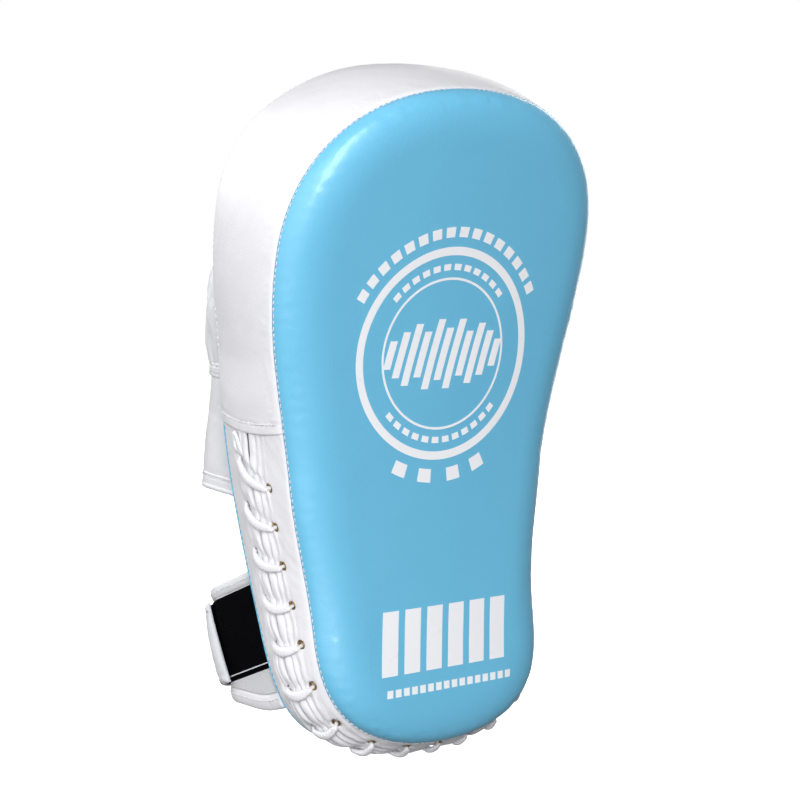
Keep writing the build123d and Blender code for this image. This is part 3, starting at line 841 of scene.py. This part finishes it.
def hole_share(along, front):
    """Share of the wall's width where a row of holes runs; round the base both rows are nearer the face."""
    low = smooth((185 - np.abs(along)) / 90)
    return FRONT_HOLE - 0.10 * low if front else REAR_HOLE - 0.06 * low


def seam_dip(distance, reach=3.0, depth=1.5):
    """How far leather rounds down into a seam."""
    return -depth * (1 - np.sqrt(1 - np.clip(1 - distance / reach, 0, 0.999) ** 2))


def band_relief(along, share, width, edge, hole, pit, seed):
    """Height of a laced band over the plain wall: rolled hem, ridges, puckers and eyelet pits."""
    offset, between = station_offset(along)
    laced = smooth((LACE_PITCH * (LACE_A_SIDE + 0.55) - np.abs(along)) / 12)
    scale = width / 60.0
    e = np.abs(edge - share) * width
    hem = 5.4 * (0.55 + 0.45 * scale)
    lift = 0.45 + 0.55 * between * laced
    ridge = 2.3 * lift * np.sqrt(np.clip(1 - ((e - hem / 2) / (hem / 2)) ** 2, 0, 1))
    second = 1.25 * lift * np.sin(np.clip((e - hem) / (4.4 * scale + 1), 0, 1) * math.pi) ** 2
    third = 0.65 * lift * np.sin(np.clip((e - hem - 4.6 * scale - 1) / 4.0, 0, 1) * math.pi) ** 2
    pull = -1.5 * bell(offset, 3.6) * smooth(1 - e / (17 * scale)) * laced
    place = np.stack([along, share * width, np.zeros_like(along)], -1)
    stretched = place * np.array([0.35, 1.0, 1.0])
    creases = 0.55 * ripple(stretched, 5.0, 11 + seed) * bell(e - 8, 8) * laced
    soft = 0.35 * ripple(place, 30.0, 12)
    r = np.sqrt(offset**2 + ((share - hole) * width) ** 2)
    dimple = -0.7 * bell(r, 4.2) * laced
    hole_depth = -pit[1] * np.exp(-((r / pit[0]) ** 6)) * laced
    edges = seam_dip(share * width) + seam_dip((1 - share) * width)
    return ridge + second + third + pull + creases + soft + dimple + hole_depth + edges


def slit_edge(along, front):
    """Share of the wall's width where a band ends beside the lacing gap."""
    _, between = station_offset(along)
    half = 0.003 + 0.017 * between
    return 0.495 - half if front else 0.495 + half


def wall_piece(name, u, share, height, thickness, nodes):
    """A closed white panel on the wall, its outer side raised by height over the plain wall."""
    points, normal = wall(u, share, height)
    piece = sheet_object(name, points, points - normal * thickness, WHITE)
    finish_piece(piece, nodes)


def lower_band(row, rows, seed):
    """One laced band, from under the gusset on one side round the base to the other."""
    front = row == "front"
    v = np.linspace(0, 1, rows)[:, None]
    limit = along_of(u_at_height(0.5, SEAM_Z + 20)[0])
    along = np.broadcast_to(np.linspace(-limit, limit, BAND_COLUMNS), (rows, BAND_COLUMNS))
    edge = slit_edge(along, front)
    share = edge * v if front else edge + (1 - edge) * v
    u = u_at(along)
    pit = (2.3, 3.2) if front else (1.6, 3.0)
    height = band_relief(along, share, wall_width(u), edge, hole_share(along, front), pit, seed)
    under = smooth((flat_wall(u, share)[..., 2] - SEAM_Z - 1) / 5)
    height = np.minimum(height, 0.4) * under + height * (1 - under) - 2.1 * under
    nodes = [f"{row}_lacing_band", f"{row}_lacing_hem"]
    wall_piece(f"{row}_lacing_cover", u, share, height, BAND_LEATHER, nodes)


def upper_gusset(columns, rows):
    """The plain white wall over the top of the pad, its lower hem lapped over the laced bands."""
    share = np.linspace(0, 1, rows)
    start = along_of(u_at_height(share, hem_line(share)))[:, None]
    end = ROUND_LENGTH - start
    fine = np.linspace(0, 0.03, 30)
    spread = np.concatenate([fine[:-1], np.linspace(0.03, 0.97, columns - 58), 1 - fine[::-1][1:]])
    along = start + (end - start) * spread[None]
    u = u_at(along)
    s = np.broadcast_to(share[:, None], along.shape)
    width = wall_width(u)
    from_end = np.minimum(along - start, end - along)
    lap = 2.3 * smooth(1 - (from_end - 14) / 30) * np.sin(math.pi * np.clip(s, 0.02, 0.98)) ** 0.25
    rolled = -1.0 * np.clip(1 - from_end / 1.2, 0, 1) ** 2
    channel = -0.35 * bell(from_end - 6.2, 1.3)
    place, _ = wall(u, s)
    puckers = 0.22 * ripple(place, 9.0, 21) * bell(s * width - 5, 5)
    puckers += 0.15 * ripple(place, 6.0, 22) * bell(from_end - 5, 5)
    soft = 0.45 * ripple(place, 70.0, 23)
    height = lap + rolled + channel + puckers + soft + seam_dip(s * width) + seam_dip((1 - s) * width)
    wall_piece("gusset_cover", u, s, height, GUSSET_LEATHER, ["upper_gusset", "gusset_hem"])


def tongue():
    """The sheet behind the lacing gap."""
    limit = LACE_PITCH * (LACE_A_SIDE + 0.4)
    a, s = np.meshgrid(np.linspace(-limit, limit, 260), np.linspace(0.28, 0.72, 15))
    u = u_at(a)
    place, _ = wall(u, s)
    depth = -3.4 + 0.4 * ripple(place, 14.0, 31)
    wall_piece("lacing_tongue_cover", u, s, depth, TONGUE_SHEET, ["lacing_tongue"])


# ---- eyelets and lace ----

def revolved(profile, centre, normal, sides=20):
    """A ring turned about a normal, from (radius, height) pairs, closed on itself."""
    first = unit(np.cross(normal, [0.3, 0.2, 0.93]))
    second = np.cross(normal, first)
    angle = np.linspace(0, 2 * math.pi, sides, endpoint=False)
    profile = np.array(profile + profile[:1])
    ring = first[None] * np.cos(angle)[:, None] + second[None] * np.sin(angle)[:, None]
    vertices = centre + profile[:, None, :1] * ring[None] + profile[:, None, 1:] * normal
    faces = grid_faces(len(profile), sides, True) % ((len(profile) - 1) * sides)
    return vertices[:-1].reshape(-1, 3), faces


def hole_place(along, hole, drop):
    """A point of the wall at a share of its width, moved out by drop, and the wall's normal there."""
    u = u_at(np.array([along]))
    point, normal = wall(u, np.array([hole]), np.array([drop]))
    return point[0], normal[0]


EYELET_SECTION = [(1.75, -0.55), (1.95, -0.10), (2.35, 0.12), (2.85, 0.10), (3.15, -0.20),  # radius, height
                  (3.0, -0.55), (2.3, -0.65), (2.0, -2.6), (1.75, -2.6)]
LACE_CURL = [(-1.5, 0.100, -2.2), (-6.5, 0.075, 0.9), (-11.5, 0.050, 1.6),  # step, share, lift
             (-13.0, 0.005, 1.7), (-9.0, -0.015, 1.5), (-4.5, 0.005, 1.3)]
LACE_PLACES = [i * LACE_PITCH for i in range(-LACE_A_SIDE, LACE_A_SIDE + 1)]


def make_eyelets():
    """Brass eyelets in the front band and small plain grommets in the rear band."""
    for row, size, drop in (("front", 1.0, -0.75), ("rear", 0.66, -1.9)):
        profile = [(r * size, h) for r, h in EYELET_SECTION]
        parts = [revolved(profile, *hole_place(a, hole_share(a, row == "front"), drop)) for a in LACE_PLACES]
        piece = make_object(f"{row}_eyelet_rings", *joined(parts), None, BRASS)
        finish_piece(piece, [f"{row}_eyelets"])


def lace_path():
    """The lace's centre line with the wall's normal and the lace's half width at each point."""
    points, normals, halves = [], [], []

    def add(along, share, proud, half):
        point, normal = hole_place(along, share, proud)
        points.append(point)
        normals.append(normal)
        halves.append(half)

    for i, place in enumerate(LACE_PLACES):
        down = -1 if place > 0 else 1
        front, rear = hole_share(place, True), hole_share(place, False)
        if i == 0:
            for step, share, lift in LACE_CURL:
                add(place + step * down, rear - share, lift, 1.5)
        add(place, rear, -2.6, 1.1)
        add(place + 0.3 * down, rear - 0.004, -0.6, 1.2)
        bow = (3.2 if abs(place) > 1 else 0.0) * down
        for t in np.linspace(0.08, 0.93, 9):
            share = rear + (front - rear) * t
            dip = math.sin(math.pi * t**0.85)
            lift = 0.7 + 2.0 * dip
            add(place + bow * dip + down * 1.4 * t, share, lift, 1.3 + 1.6 * dip**0.7)
        add(place + down * 1.3, front + 0.022, -0.9, 1.2)
        add(place + down * 0.9, front + 0.018, -3.0, 1.1)
        if i < len(LACE_PLACES) - 1:
            following = LACE_PLACES[i + 1]
            for t in (0.3, 0.7):
                add(place + (following - place) * t, front + (rear - front) * t, -3.1, 1.3)
        else:
            add(place - 3, front + 0.1, -3.1, 1.3)
            for step, share, lift in LACE_CURL:
                add(place + step * down, rear - share, lift, 1.5)
    return np.array(points), np.array(normals), np.array(halves)


def smoothed_path(points, normals, halves, per_span=6):
    """A Catmull-Rom curve through the points, with normals and half widths carried along."""
    both = np.concatenate([points, normals, halves[:, None]], 1)
    before, after = 2 * both[0] - both[1], 2 * both[-1] - both[-2]
    padded = np.concatenate([[before], both, [after]])
    result = []
    for i in range(1, len(padded) - 2):
        p0, p1, p2, p3 = padded[i - 1:i + 3]
        for t in np.linspace(0, 1, per_span, endpoint=False):
            result.append(0.5 * (2 * p1 + (p2 - p0) * t + (2 * p0 - 5 * p1 + 4 * p2 - p3) * t**2
                                 + (3 * p1 - p0 - 3 * p2 + p3) * t**3))
    result.append(both[-1])
    result = np.array(result)
    return result[:, :3], unit(result[:, 3:6]), result[:, 6]


def make_lace():
    """The flat white lace, with its weave laid along it."""
    path, normals, halves = smoothed_path(*lace_path())
    d = distances(path)
    sides = 12
    around = np.tile(np.arange(sides) / sides * 9.0, len(path))
    uv = np.stack([np.repeat(d, sides), around], 1)
    piece = make_object("lace_cord", *tube_points(path, halves, sides, LACE_FLATNESS, normals), uv, LACE)
    finish_piece(piece, ["lace"])


# ---- hood over the fingers ----

def arch(distance, half_width, root, depth, corner):
    """Points and outward directions at distances round an arch from its left root to its right one."""
    side, turn = depth - corner - root, corner * math.pi / 2
    length = 2 * (side + turn + half_width - corner)
    right = distance > length / 2
    e = np.where(right, length - distance, distance)
    angle = np.clip((e - side) / corner, 0, math.pi / 2)
    x = -half_width + corner * (1 - np.cos(angle)) + np.clip(e - side - turn, 0, None)
    y = root + np.minimum(e, side) + corner * np.sin(angle)
    return np.where(right, -x, x), y, np.where(right, 1, -1) * np.cos(angle), np.sin(angle)


def hood_row(z, inset, count):
    """One row of the hood's form at height z, with outward directions."""
    shoulder = np.clip((z - HOOD_SHOULDER) / (HOOD_TOP - HOOD_SHOULDER), 0, 1)
    close = math.sqrt(max(0.0, 1 - shoulder**2))
    root = float(arc_depth(z, BACK_ARC)) - 1.0
    flare = 3.2 * smooth((10 - z) / 50)
    depth = root + (HOOD_DEPTH + flare - root) * close - inset * close
    depth = max(depth, root + 0.6)
    width = HOOD_HALF_WIDTH + 0.5 * flare - 15 * (1 - close) - inset
    corner = min(HOOD_CORNER * (0.25 + 0.75 * close) + 2, depth - root, width)
    length = 2 * (depth - root + width + corner * (math.pi / 2 - 2))
    x, y, out_x, out_y = arch(np.linspace(0, length, count), width, root, depth, corner)
    tilt = shoulder / max(close, 0.25) * 0.9
    return np.stack([x, y, np.full(count, z)], 1), unit(np.stack([out_x, out_y, np.full(count, tilt)], 1))


def hood_panel(name, heights, count, relief, nodes, inset=0.0, thickness=5.6, cloth=False):
    """A panel of the hood: relief(points, across, heights) gives its height over the plain form."""
    rows = [hood_row(z, inset, count) for z in heights]
    points, directions = np.array([r[0] for r in rows]), np.array([r[1] for r in rows])
    across, z = np.meshgrid(np.linspace(0, 1, count), heights)
    outer = points + directions * relief(points, across, z)[..., None]
    piece = sheet_object(name, outer, points - directions * thickness, LINING if cloth else WHITE, flip=True)
    finish_piece(piece, nodes)


def make_hood():
    """The finger hood: gathered upper panel, plain lower panel, the band between them, hem and lining."""
    middle = sum(HOOD_BAND) / 2
    count = 300

    def gathered(points, across, z):
        """Pleats that start at the band and die out upwards, on a soft swell."""
        rise = np.clip((z - middle) / (HOOD_TOP - middle), 0, 1)
        swell = 4.2 * np.sin(math.pi * np.clip(rise * 1.25, 0, 1)) ** 0.8
        phase = across * 2 * math.pi * 34 + 1.6 * ripple(points * [1, 1, 0.25], 34.0, 41)
        pleat = np.abs(np.sin(phase / 2)) ** 0.8 - 0.6
        depth = 1.25 * bell(rise, 0.34) + 0.35 * bell(rise - 1, 0.25)
        creases = 0.55 * ripple(points * [1, 1, 0.55], 15.0, 42) + 0.9 * ripple(points, 44.0, 43)
        root = smooth(np.minimum(across, 1 - across) * 26)
        return (swell + pleat * depth + creases - 1.5 * (1 - smooth(rise / 0.05))) * root

    def plain(points, across, z):
        """The smooth lower panel, a little full between the band and the hem."""
        rise = np.clip((z - HOOD_MOUTH) / (middle - HOOD_MOUTH), 0, 1)
        root = smooth(np.minimum(across, 1 - across) * 30)
        full = 1.3 * np.sin(math.pi * rise) ** 0.7
        return (full + 0.5 * ripple(points, 40.0, 44) + 0.2 * ripple(points, 13.0, 45)) * root

    def tape(points, _, z):
        """A flat band with rounded edges and two stitch channels."""
        t = (z - z.min()) / (z.max() - z.min())
        channels = -0.35 * bell(t - 0.24, 0.07) - 0.35 * bell(t - 0.76, 0.07)
        return 1.5 * rounded(np.minimum(t, 1 - t) * 8) + channels + 0.12 * ripple(points, 7.0, 46)

    def rolled(points, _, z):
        """A hem rolled at its lower edge, with one stitch channel."""
        t = (z - z.min()) / (z.max() - z.min())
        roll = 1.6 * np.sqrt(np.clip(1 - ((t - 0.14) / 0.2) ** 2, 0, 1))
        channel = -0.45 * bell(t - 0.72, 0.06)
        return np.maximum(roll, 1.1 * smooth((1 - t) / 0.06)) + channel + 0.12 * ripple(points, 8.0, 47)

    def cloth(points, *_):
        return 0.25 * ripple(points, 16.0, 48)

    top = HOOD_SHOULDER + (HOOD_TOP - HOOD_SHOULDER) * np.sin(np.linspace(0, 1, 34) * math.pi / 2 * 0.995)
    upper = np.concatenate([np.linspace(middle, HOOD_SHOULDER, 46)[:-1], top])
    lower = np.linspace(HOOD_MOUTH, middle, 56)
    hem = np.linspace(HOOD_MOUTH - 1.0, HOOD_MOUTH + 9.0, 26)
    hood_panel("hood_upper_cover", upper, count, gathered, ["hood_upper_panel", "hood_cap_padding"])
    hood_panel("hood_lower_cover", lower, count, plain, ["hood_lower_panel", "hood_padding"])
    hood_panel("hood_band_tape", np.linspace(*HOOD_BAND, 22), count, tape, ["hood_band"], thickness=0.8)
    hood_panel("hood_mouth_hem", hem, count, rolled, ["hood_hem"], thickness=7.6)
    lining = np.linspace(HOOD_MOUTH + 0.5, HOOD_TOP - 8, 50)
    hood_panel("hood_lining_cloth", lining, 160, cloth, ["hood_lining"], 6.4, 1.0, True)
    rows = []
    for z, lift in ((25.9, 1.15), (31.1, 1.15), (HOOD_MOUTH + 6.2, 0.75)):
        points, directions = hood_row(z, -lift, 220)
        rows.append(stitch_row(points[3:-3], directions[3:-3], *HEM_STITCH))
    add_stitches(rows, "hood_stitches", "pad")


# ---- palm cushion and wrist pad ----

PALM_Z, PALM_RADIUS, PALM_HEIGHT = -16.0, 31.0, 15.0
PALM_PIPING = 1.3
WRIST_HALF_WIDTH, WRIST_QUILTING = 60.0, (-30.0, 0.0, 30.0)


def palm_cushion():
    """A round leather cushion, drawn in by a stitched ring, swollen by cloth simulation."""
    rings, sides = 26, 72
    t, a = np.meshgrid(np.linspace(0, 1, rings), np.arange(sides) / sides * 2 * math.pi, indexing="ij")
    radius = (PALM_RADIUS - 2.5) * np.sin(t * math.pi / 2) ** 0.9
    top = (PALM_HEIGHT - 4.0) * np.clip(np.cos(t * math.pi / 2), 0, 1) ** 0.9
    x, z = radius * np.cos(a), PALM_Z + radius * np.sin(a)
    floor = arc_depth(z, BACK_ARC) + 0.5
    vertices = [np.stack([x, floor + height, z], -1).reshape(-1, 3) for height in (top, -1.5 * (1 - t))]
    faces = [grid_faces(rings, sides, True, 0, True), grid_faces(rings, sides, True, rings * sides)]
    piece = make_object("palm_cushion_cover", np.concatenate(vertices), np.concatenate(faces), None, WHITE)
    weld(piece, 0.01)
    points = np.array([v.co for v in piece.data.vertices]) / MM
    away = np.hypot(points[:, 0], points[:, 2] - PALM_Z)
    lifted = points[:, 1] - arc_depth(points[:, 2], BACK_ARC)
    inflate(piece, (away > PALM_RADIUS - 4.2) | (lifted < 1.0), 6.0, 4.0, 16, 0.04)
    subdivided(piece)
    finish_piece(piece, ["palm_cushion"])
    angle = np.linspace(0, 2 * math.pi, 120)
    z = PALM_Z + (PALM_RADIUS - 0.2) * np.sin(angle)
    path = np.stack([(PALM_RADIUS - 0.2) * np.cos(angle), arc_depth(z, BACK_ARC) + 0.5, z], 1)
    piping = make_object("palm_cushion_piping", *tube_points(path, PALM_PIPING), None, WHITE)
    finish_piece(piping)


# ---- cuff ----

LINING_LEVEL, HOOK_LEVEL, STRAP_LEVEL = -7.4, 1.85, 3.0  # heights over the cuff's form
CUFF_X = np.array([1.0, 0.0, 0.0])
CUFF_N = np.array([0.0, math.cos(CUFF_LEAN), -math.sin(CUFF_LEAN)])
CUFF_V = np.array([0.0, math.sin(CUFF_LEAN), math.cos(CUFF_LEAN)])


def cuff_world(x, n, v):
    """Point from the cuff's own leaning axes."""
    x, n, v = (np.asarray(value, float)[..., None] for value in (x, n, v))
    return np.array(CUFF_AT) + x * CUFF_X + n * CUFF_N + v * CUFF_V


def panel_level(v):
    """How far the back panel stands below the cuff's plane at v, in the cuff's own axes."""
    n = np.zeros_like(np.asarray(v, float))
    for _ in range(8):
        place = cuff_world(0.0, n, v)
        n = n + (arc_depth(place[..., 2], BACK_ARC) - place[..., 1]) / CUFF_N[1]
    return n


ARCH_SIDE = CUFF_DEPTH - CUFF_CORNER
ARCH_TURN = CUFF_CORNER * math.pi / 2
ARCH_TOP = 2 * (CUFF_HALF_WIDTH - CUFF_CORNER)
ARCH_LENGTH = 2 * (ARCH_SIDE + ARCH_TURN) + ARCH_TOP


def cuff_point(t, v, offset):
    """Point and outward normal at a distance t round the cuff from its left root, moved out by offset."""
    x, n, dx, dn = arch(t, CUFF_HALF_WIDTH, 0.0, CUFF_DEPTH, CUFF_CORNER)
    normal = dx[..., None] * CUFF_X + dn[..., None] * CUFF_N
    return cuff_world(x + dx * offset, n + dn * offset, v), normal


def wing_edges(t):
    """Lower and upper edge of the wings at t: the lower edge rises towards the back of the wrist."""
    e = np.minimum(t, ARCH_LENGTH - t)
    return 15 * smooth((e - 8) / 62) - CUFF_HALF_HEIGHT, CUFF_HALF_HEIGHT - 3.0 * smooth((e - 60) / 50)


def beside_edge(which, shift):
    """A line at a distance above the wings' lower (0) or upper (1) edge."""
    return lambda t: wing_edges(t)[which] + shift


def cuff_sheet(name, span, low, high, relief, under, look, nodes, columns, rows,
               level=0.0, skew=0.0):
    """A closed sheet on the cuff's form between two places round it and two edges.

    relief(t, share, height) gives the outer side's height over the form, or both sides' heights.
    """
    material, body, slot = look
    start, end = span
    t, share = np.meshgrid(np.linspace(start, end, columns), np.linspace(0, 1, rows))
    t = t + skew * share * (end - t) / (end - start)
    bottom, top = (line(t) if callable(line) else line for line in (low, high))
    height = bottom + (top - bottom) * share
    rise = relief(t, share, height)
    over, beneath = rise if isinstance(rise, tuple) else (rise, -under)
    outer, _ = cuff_point(t, height, level + over)
    inner, _ = cuff_point(t, height, level + beneath)
    piece = sheet_object(name, outer, inner, material, np.stack([t, height], -1), flip=True)
    finish_piece(piece, nodes, body)
    return piece


def cuff_ripple(t, height, size, seed):
    return ripple(cuff_point(t, height, 0.0)[0], size, seed)


def make_wings():
    """Both padded wings, with their linings, bindings and hems."""
    root, free = 2.0, ARCH_SIDE + ARCH_TURN + CUFF_HALF_WIDTH - CUFF_CORNER - CUFF_FREE_EDGE

    def bound(t, share, height):
        """The round of a binding or hem over the wing's edge."""
        over = np.sqrt(np.clip(np.sin(share * math.pi), 0, 1))
        return -0.2 + 1.5 * over + 0.15 * cuff_ripple(t, height, 7.0, 77)

    wings = ((-1, "left", (root, free)), (1, "right", (ARCH_LENGTH - free, ARCH_LENGTH - root)))
    for side, name, span in wings:
        body = f"{name}_wing"
        leather_look = (WHITE, body, "white_leather")

        def slab(t, share, height):
            """A padded slab with rounded edges."""
            edge = np.minimum(share, 1 - share) * 2 * CUFF_HALF_HEIGHT
            rim = np.minimum(edge, free - np.minimum(t, ARCH_LENGTH - t))
            full = rounded(rim / 9.0)
            return full * (2.6 + 0.35 * cuff_ripple(t, height, 26.0, 61 + side)) - 2.6, -3.6 - 2.4 * full

        def cloth(t, _, height):
            return 0.2 * cuff_ripple(t, height, 15.0, 71 + side)

        cover = cuff_sheet(f"{name}_wing_cover", span, beside_edge(0, 0), beside_edge(1, 0), slab, 0.0,
                           leather_look, [f"{name}_cuff_shell", f"{name}_cuff_padding"], 56, 40)
        subdivided(cover)
        cuff_sheet(f"{name}_wing_lining", span, beside_edge(0, 3), beside_edge(1, -3), cloth, 0.9,
                   (LINING, body, "lining_fabric"), [f"{name}_cuff_lining"], 80, 50, LINING_LEVEL)
        cuff_sheet(f"{name}_wing_binding", span, beside_edge(1, -6.2), beside_edge(1, 1.1), bound, 5.2,
                   leather_look, [f"{name}_cuff_top_binding"], 140, 20)
        cuff_sheet(f"{name}_wing_hem", span, beside_edge(0, -1.1), beside_edge(0, 8.0), bound, 5.2,
                   leather_look, [f"{name}_cuff_bottom_hem"], 140, 24)
        t = np.linspace(span[0] + 1, span[1] - 1, 160)
        lines = ((1, -2.6, 1.2), (0, 4.6, 1.25))
        rows = [stitch_row(*cuff_point(t, wing_edges(t)[edge] + shift, lift), *HEM_STITCH)
                for edge, shift, lift in lines]
        add_stitches(rows, f"{name}_wing_stitches", body)


def flat_strip(edge, height):
    """Relief of a flat strip with softly rounded edges, for tapes of a given thickness."""
    def relief(t, share, z):
        across = np.minimum(share, 1 - share) * (z.max() - z.min())
        rim = np.minimum(across, np.minimum(t - t.min(), t.max() - t)) / edge
        return height * (0.55 + 0.45 * rounded(rim))
    return relief


def strap_relief(slant):
    """Relief of the padded strap cloth: soft edges, a stitch channel, and a bow across."""
    def relief(t, share, z):
        across = np.minimum(share, 1 - share) * (TAPE_HIGH - TAPE_LOW)
        ends = np.minimum((t - t.min() - slant * share) / 9.0, (t.max() - t) / 4.5)
        full = rounded(np.minimum(across / 5.5, ends))
        channel = -0.6 * bell(across - 5.0, 1.1)
        bow = 1.4 * np.sin(math.pi * np.clip(share, 0, 1))
        return 1.4 + (2.2 + bow) * full + channel + 0.25 * cuff_ripple(t, z, 12.0, 81), 0.1
    return relief


def make_closure():
    """Loop tape, its mesh backing, and the hook strap that closes the cuff."""
    patch = (5.0, ARCH_SIDE + ARCH_TURN + 22)
    cuff_sheet("loop_tape_patch", patch, TAPE_LOW, TAPE_HIGH, flat_strip(1.0, 1.3), 0.2,
               (PILE, "left_wing", "loop_tape"), ["loop_patch"], 150, 70)
    cuff_sheet("webbing_backing", patch, lambda t: np.maximum(wing_edges(t)[0] + 8.4, -32.0), TAPE_LOW + 1.0,
               flat_strip(1.0, 0.7), 0.2, (WEBBING, "left_wing", "webbing"), ["webbing_strip"], 150, 30)
    t = np.linspace(patch[0] + 1, patch[1] - 1, 150)
    row = stitch_row(*cuff_point(t, TAPE_LOW + 3.2, 1.35), 3.1, 2.9, 0.38, 0.1)
    add_stitches([row], "loop_tape_stitches", "left_wing")

    start = ARCH_SIDE + 1
    hinge = ARCH_SIDE + ARCH_TURN + CUFF_HALF_WIDTH - CUFF_CORNER + STRAP_HINGE_X
    anchor_end = ARCH_LENGTH - 24
    cuff_sheet("hook_tape_patch", (start + 7, patch[1] + 2), TAPE_LOW + 1.5, TAPE_HIGH - 1.5,
               flat_strip(0.8, 1.1), 0.1, (PILE, "strap", "hook_tape"), ["hook_patch"],
               90, 50, HOOK_LEVEL)
    cuff_sheet("closing_strap_cover", (start, hinge - 0.6), TAPE_LOW, TAPE_HIGH,
               strap_relief(STRAP_SLANT), 0.0, (STRAP_CLOTH, "strap", "webbing"), ["closing_strap"],
               200, 60, STRAP_LEVEL, STRAP_SLANT)
    cuff_sheet("strap_anchor_cover", (hinge + 0.6, anchor_end), TAPE_LOW, TAPE_HIGH, strap_relief(0.0), 0.0,
               (STRAP_CLOTH, "right_wing", "webbing"), ["strap_anchor"], 110, 60, STRAP_LEVEL)

    def edge_rows(low, high):
        t = np.linspace(low, high, 200)
        return [stitch_row(*cuff_point(t, v, 6.1), *HEM_STITCH) for v in (TAPE_LOW + 5.0, TAPE_HIGH - 5.0)]

    box_rows = []
    left, right, low, high = anchor_end - 28, anchor_end - 8, TAPE_LOW + 9, TAPE_HIGH - 9
    box = closed(np.array([(left, low), (right, low), (right, high), (left, high)]))
    for (t0, v0), (t1, v1) in zip(box, box[1:]):
        k = np.linspace(0, 1, 30)
        points = cuff_point(t0 + (t1 - t0) * k, v0 + (v1 - v0) * k, 7.4)
        box_rows.append(stitch_row(*points, *BOX_STITCH))
    add_stitches(edge_rows(start + 5, hinge - 4), "closing_strap_stitches", "strap")
    add_stitches(edge_rows(hinge + 4, anchor_end - 4) + box_rows, "strap_anchor_stitches", "right_wing")


def wrist_pad():
    """The quilted pad on the panel under the wrist, between the wings."""
    half, high = WRIST_HALF_WIDTH, CUFF_HALF_HEIGHT - 2
    x, v = np.meshgrid(np.linspace(-half, half, 100), np.linspace(-high, high, 64))
    base = panel_level(v)
    rim = np.minimum(half - np.abs(x), high - np.abs(v))
    full = rounded(rim / 8.0)
    valley = sum(bell(x - place, 2.2) for place in WRIST_QUILTING)
    height = 0.6 + (6.0 - 3.0 * valley * smooth((rim - 3) / 8)) * full
    over, under = cuff_world(x, base + height, v), cuff_world(x, base + 0.3, v)
    piece = sheet_object("wrist_cushion", over, under, LINING)
    held = np.concatenate([((rim < 5) | (valley > 0.45)).ravel(), np.ones(x.size, bool)])
    inflate(piece, held, 3.0, 1.6, 12, 0.03)
    subdivided(piece)
    finish_piece(piece, ["wrist_pad"])
    line = np.linspace(-high + 7, high - 7, 60)
    out = np.broadcast_to(CUFF_N, (60, 3))
    level = panel_level(line) + 3.7
    rows = [stitch_row(cuff_world(place, level, line), out, *BOX_STITCH) for place in WRIST_QUILTING]
    add_stitches(rows, "wrist_cushion_stitches", "pad")


# ---- seam stitches of the pad ----

def make_seams():
    """Stitches round the face, along the gusset's hem, down the edge of the bands, and round the back."""
    count = 900
    u = ring_columns(count, 0.0)
    ends = flat_wall(u, 0.0)
    _, normal = wall(u, np.full(count, 0.01))
    inward = inward_of(ends[:, ::2])
    path = ends + np.stack([inward[:, 0] * 0.55, np.full(count, -1.3), inward[:, 1] * 0.55], 1)
    out = unit(normal + np.array([0, -0.6, 0]))
    add_stitches([stitch_row(closed(path), closed(out), 3.6, 2.2, 0.34)], "face_seam_stitches", "pad")

    share = np.linspace(0.03, 0.97, 60)
    hem = u_at_height(share, hem_line(share) + 6.2)
    down = np.linspace(0, 60, 60) + along_of(u_at_height(0.95, SEAM_Z + 8)[0])
    rows = []
    for u, along in ((hem, down), (8 - hem, -down)):
        rows.append(stitch_row(*wall(u, share, 2.1), 4.6, 2.7, 0.42))
        rows.append(stitch_row(*wall(u_at(along), 0.955), 4.2, 2.8, 0.34))
    add_stitches(rows, "gusset_hem_stitches", "pad")

    points, normals = wall(ring_columns(700, 1.0), 0.985, -0.6)
    add_stitches([stitch_row(closed(points), closed(normals), 3.8, 2.4, 0.3)], "back_seam_stitches", "pad")


# ---- build ----

make_camera()
make_studio()

face_cover, face_surface = domed_panel("face_cover", 0.0, FACE_ARC, -1, CROWN, CROWN_INSET, 0.22,
                                       (0.5, 0.5), 760)
finish_piece(face_cover, ["face_panel", "impact_foam", "core_foam", "back_board"])
make_print(face_surface)
back_cover, _ = domed_panel("back_cover", 1.0, BACK_ARC, 1, 1.6, 12.0, 0.15, (-0.35, 1.3), 520)
finish_piece(back_cover, ["back_panel"])
upper_gusset(620, 64)
lower_band("front", 46, 0)
lower_band("rear", 50, 40)
tongue()
make_eyelets()
make_lace()
make_hood()
palm_cushion()
wrist_pad()
make_wings()
make_closure()
make_seams()
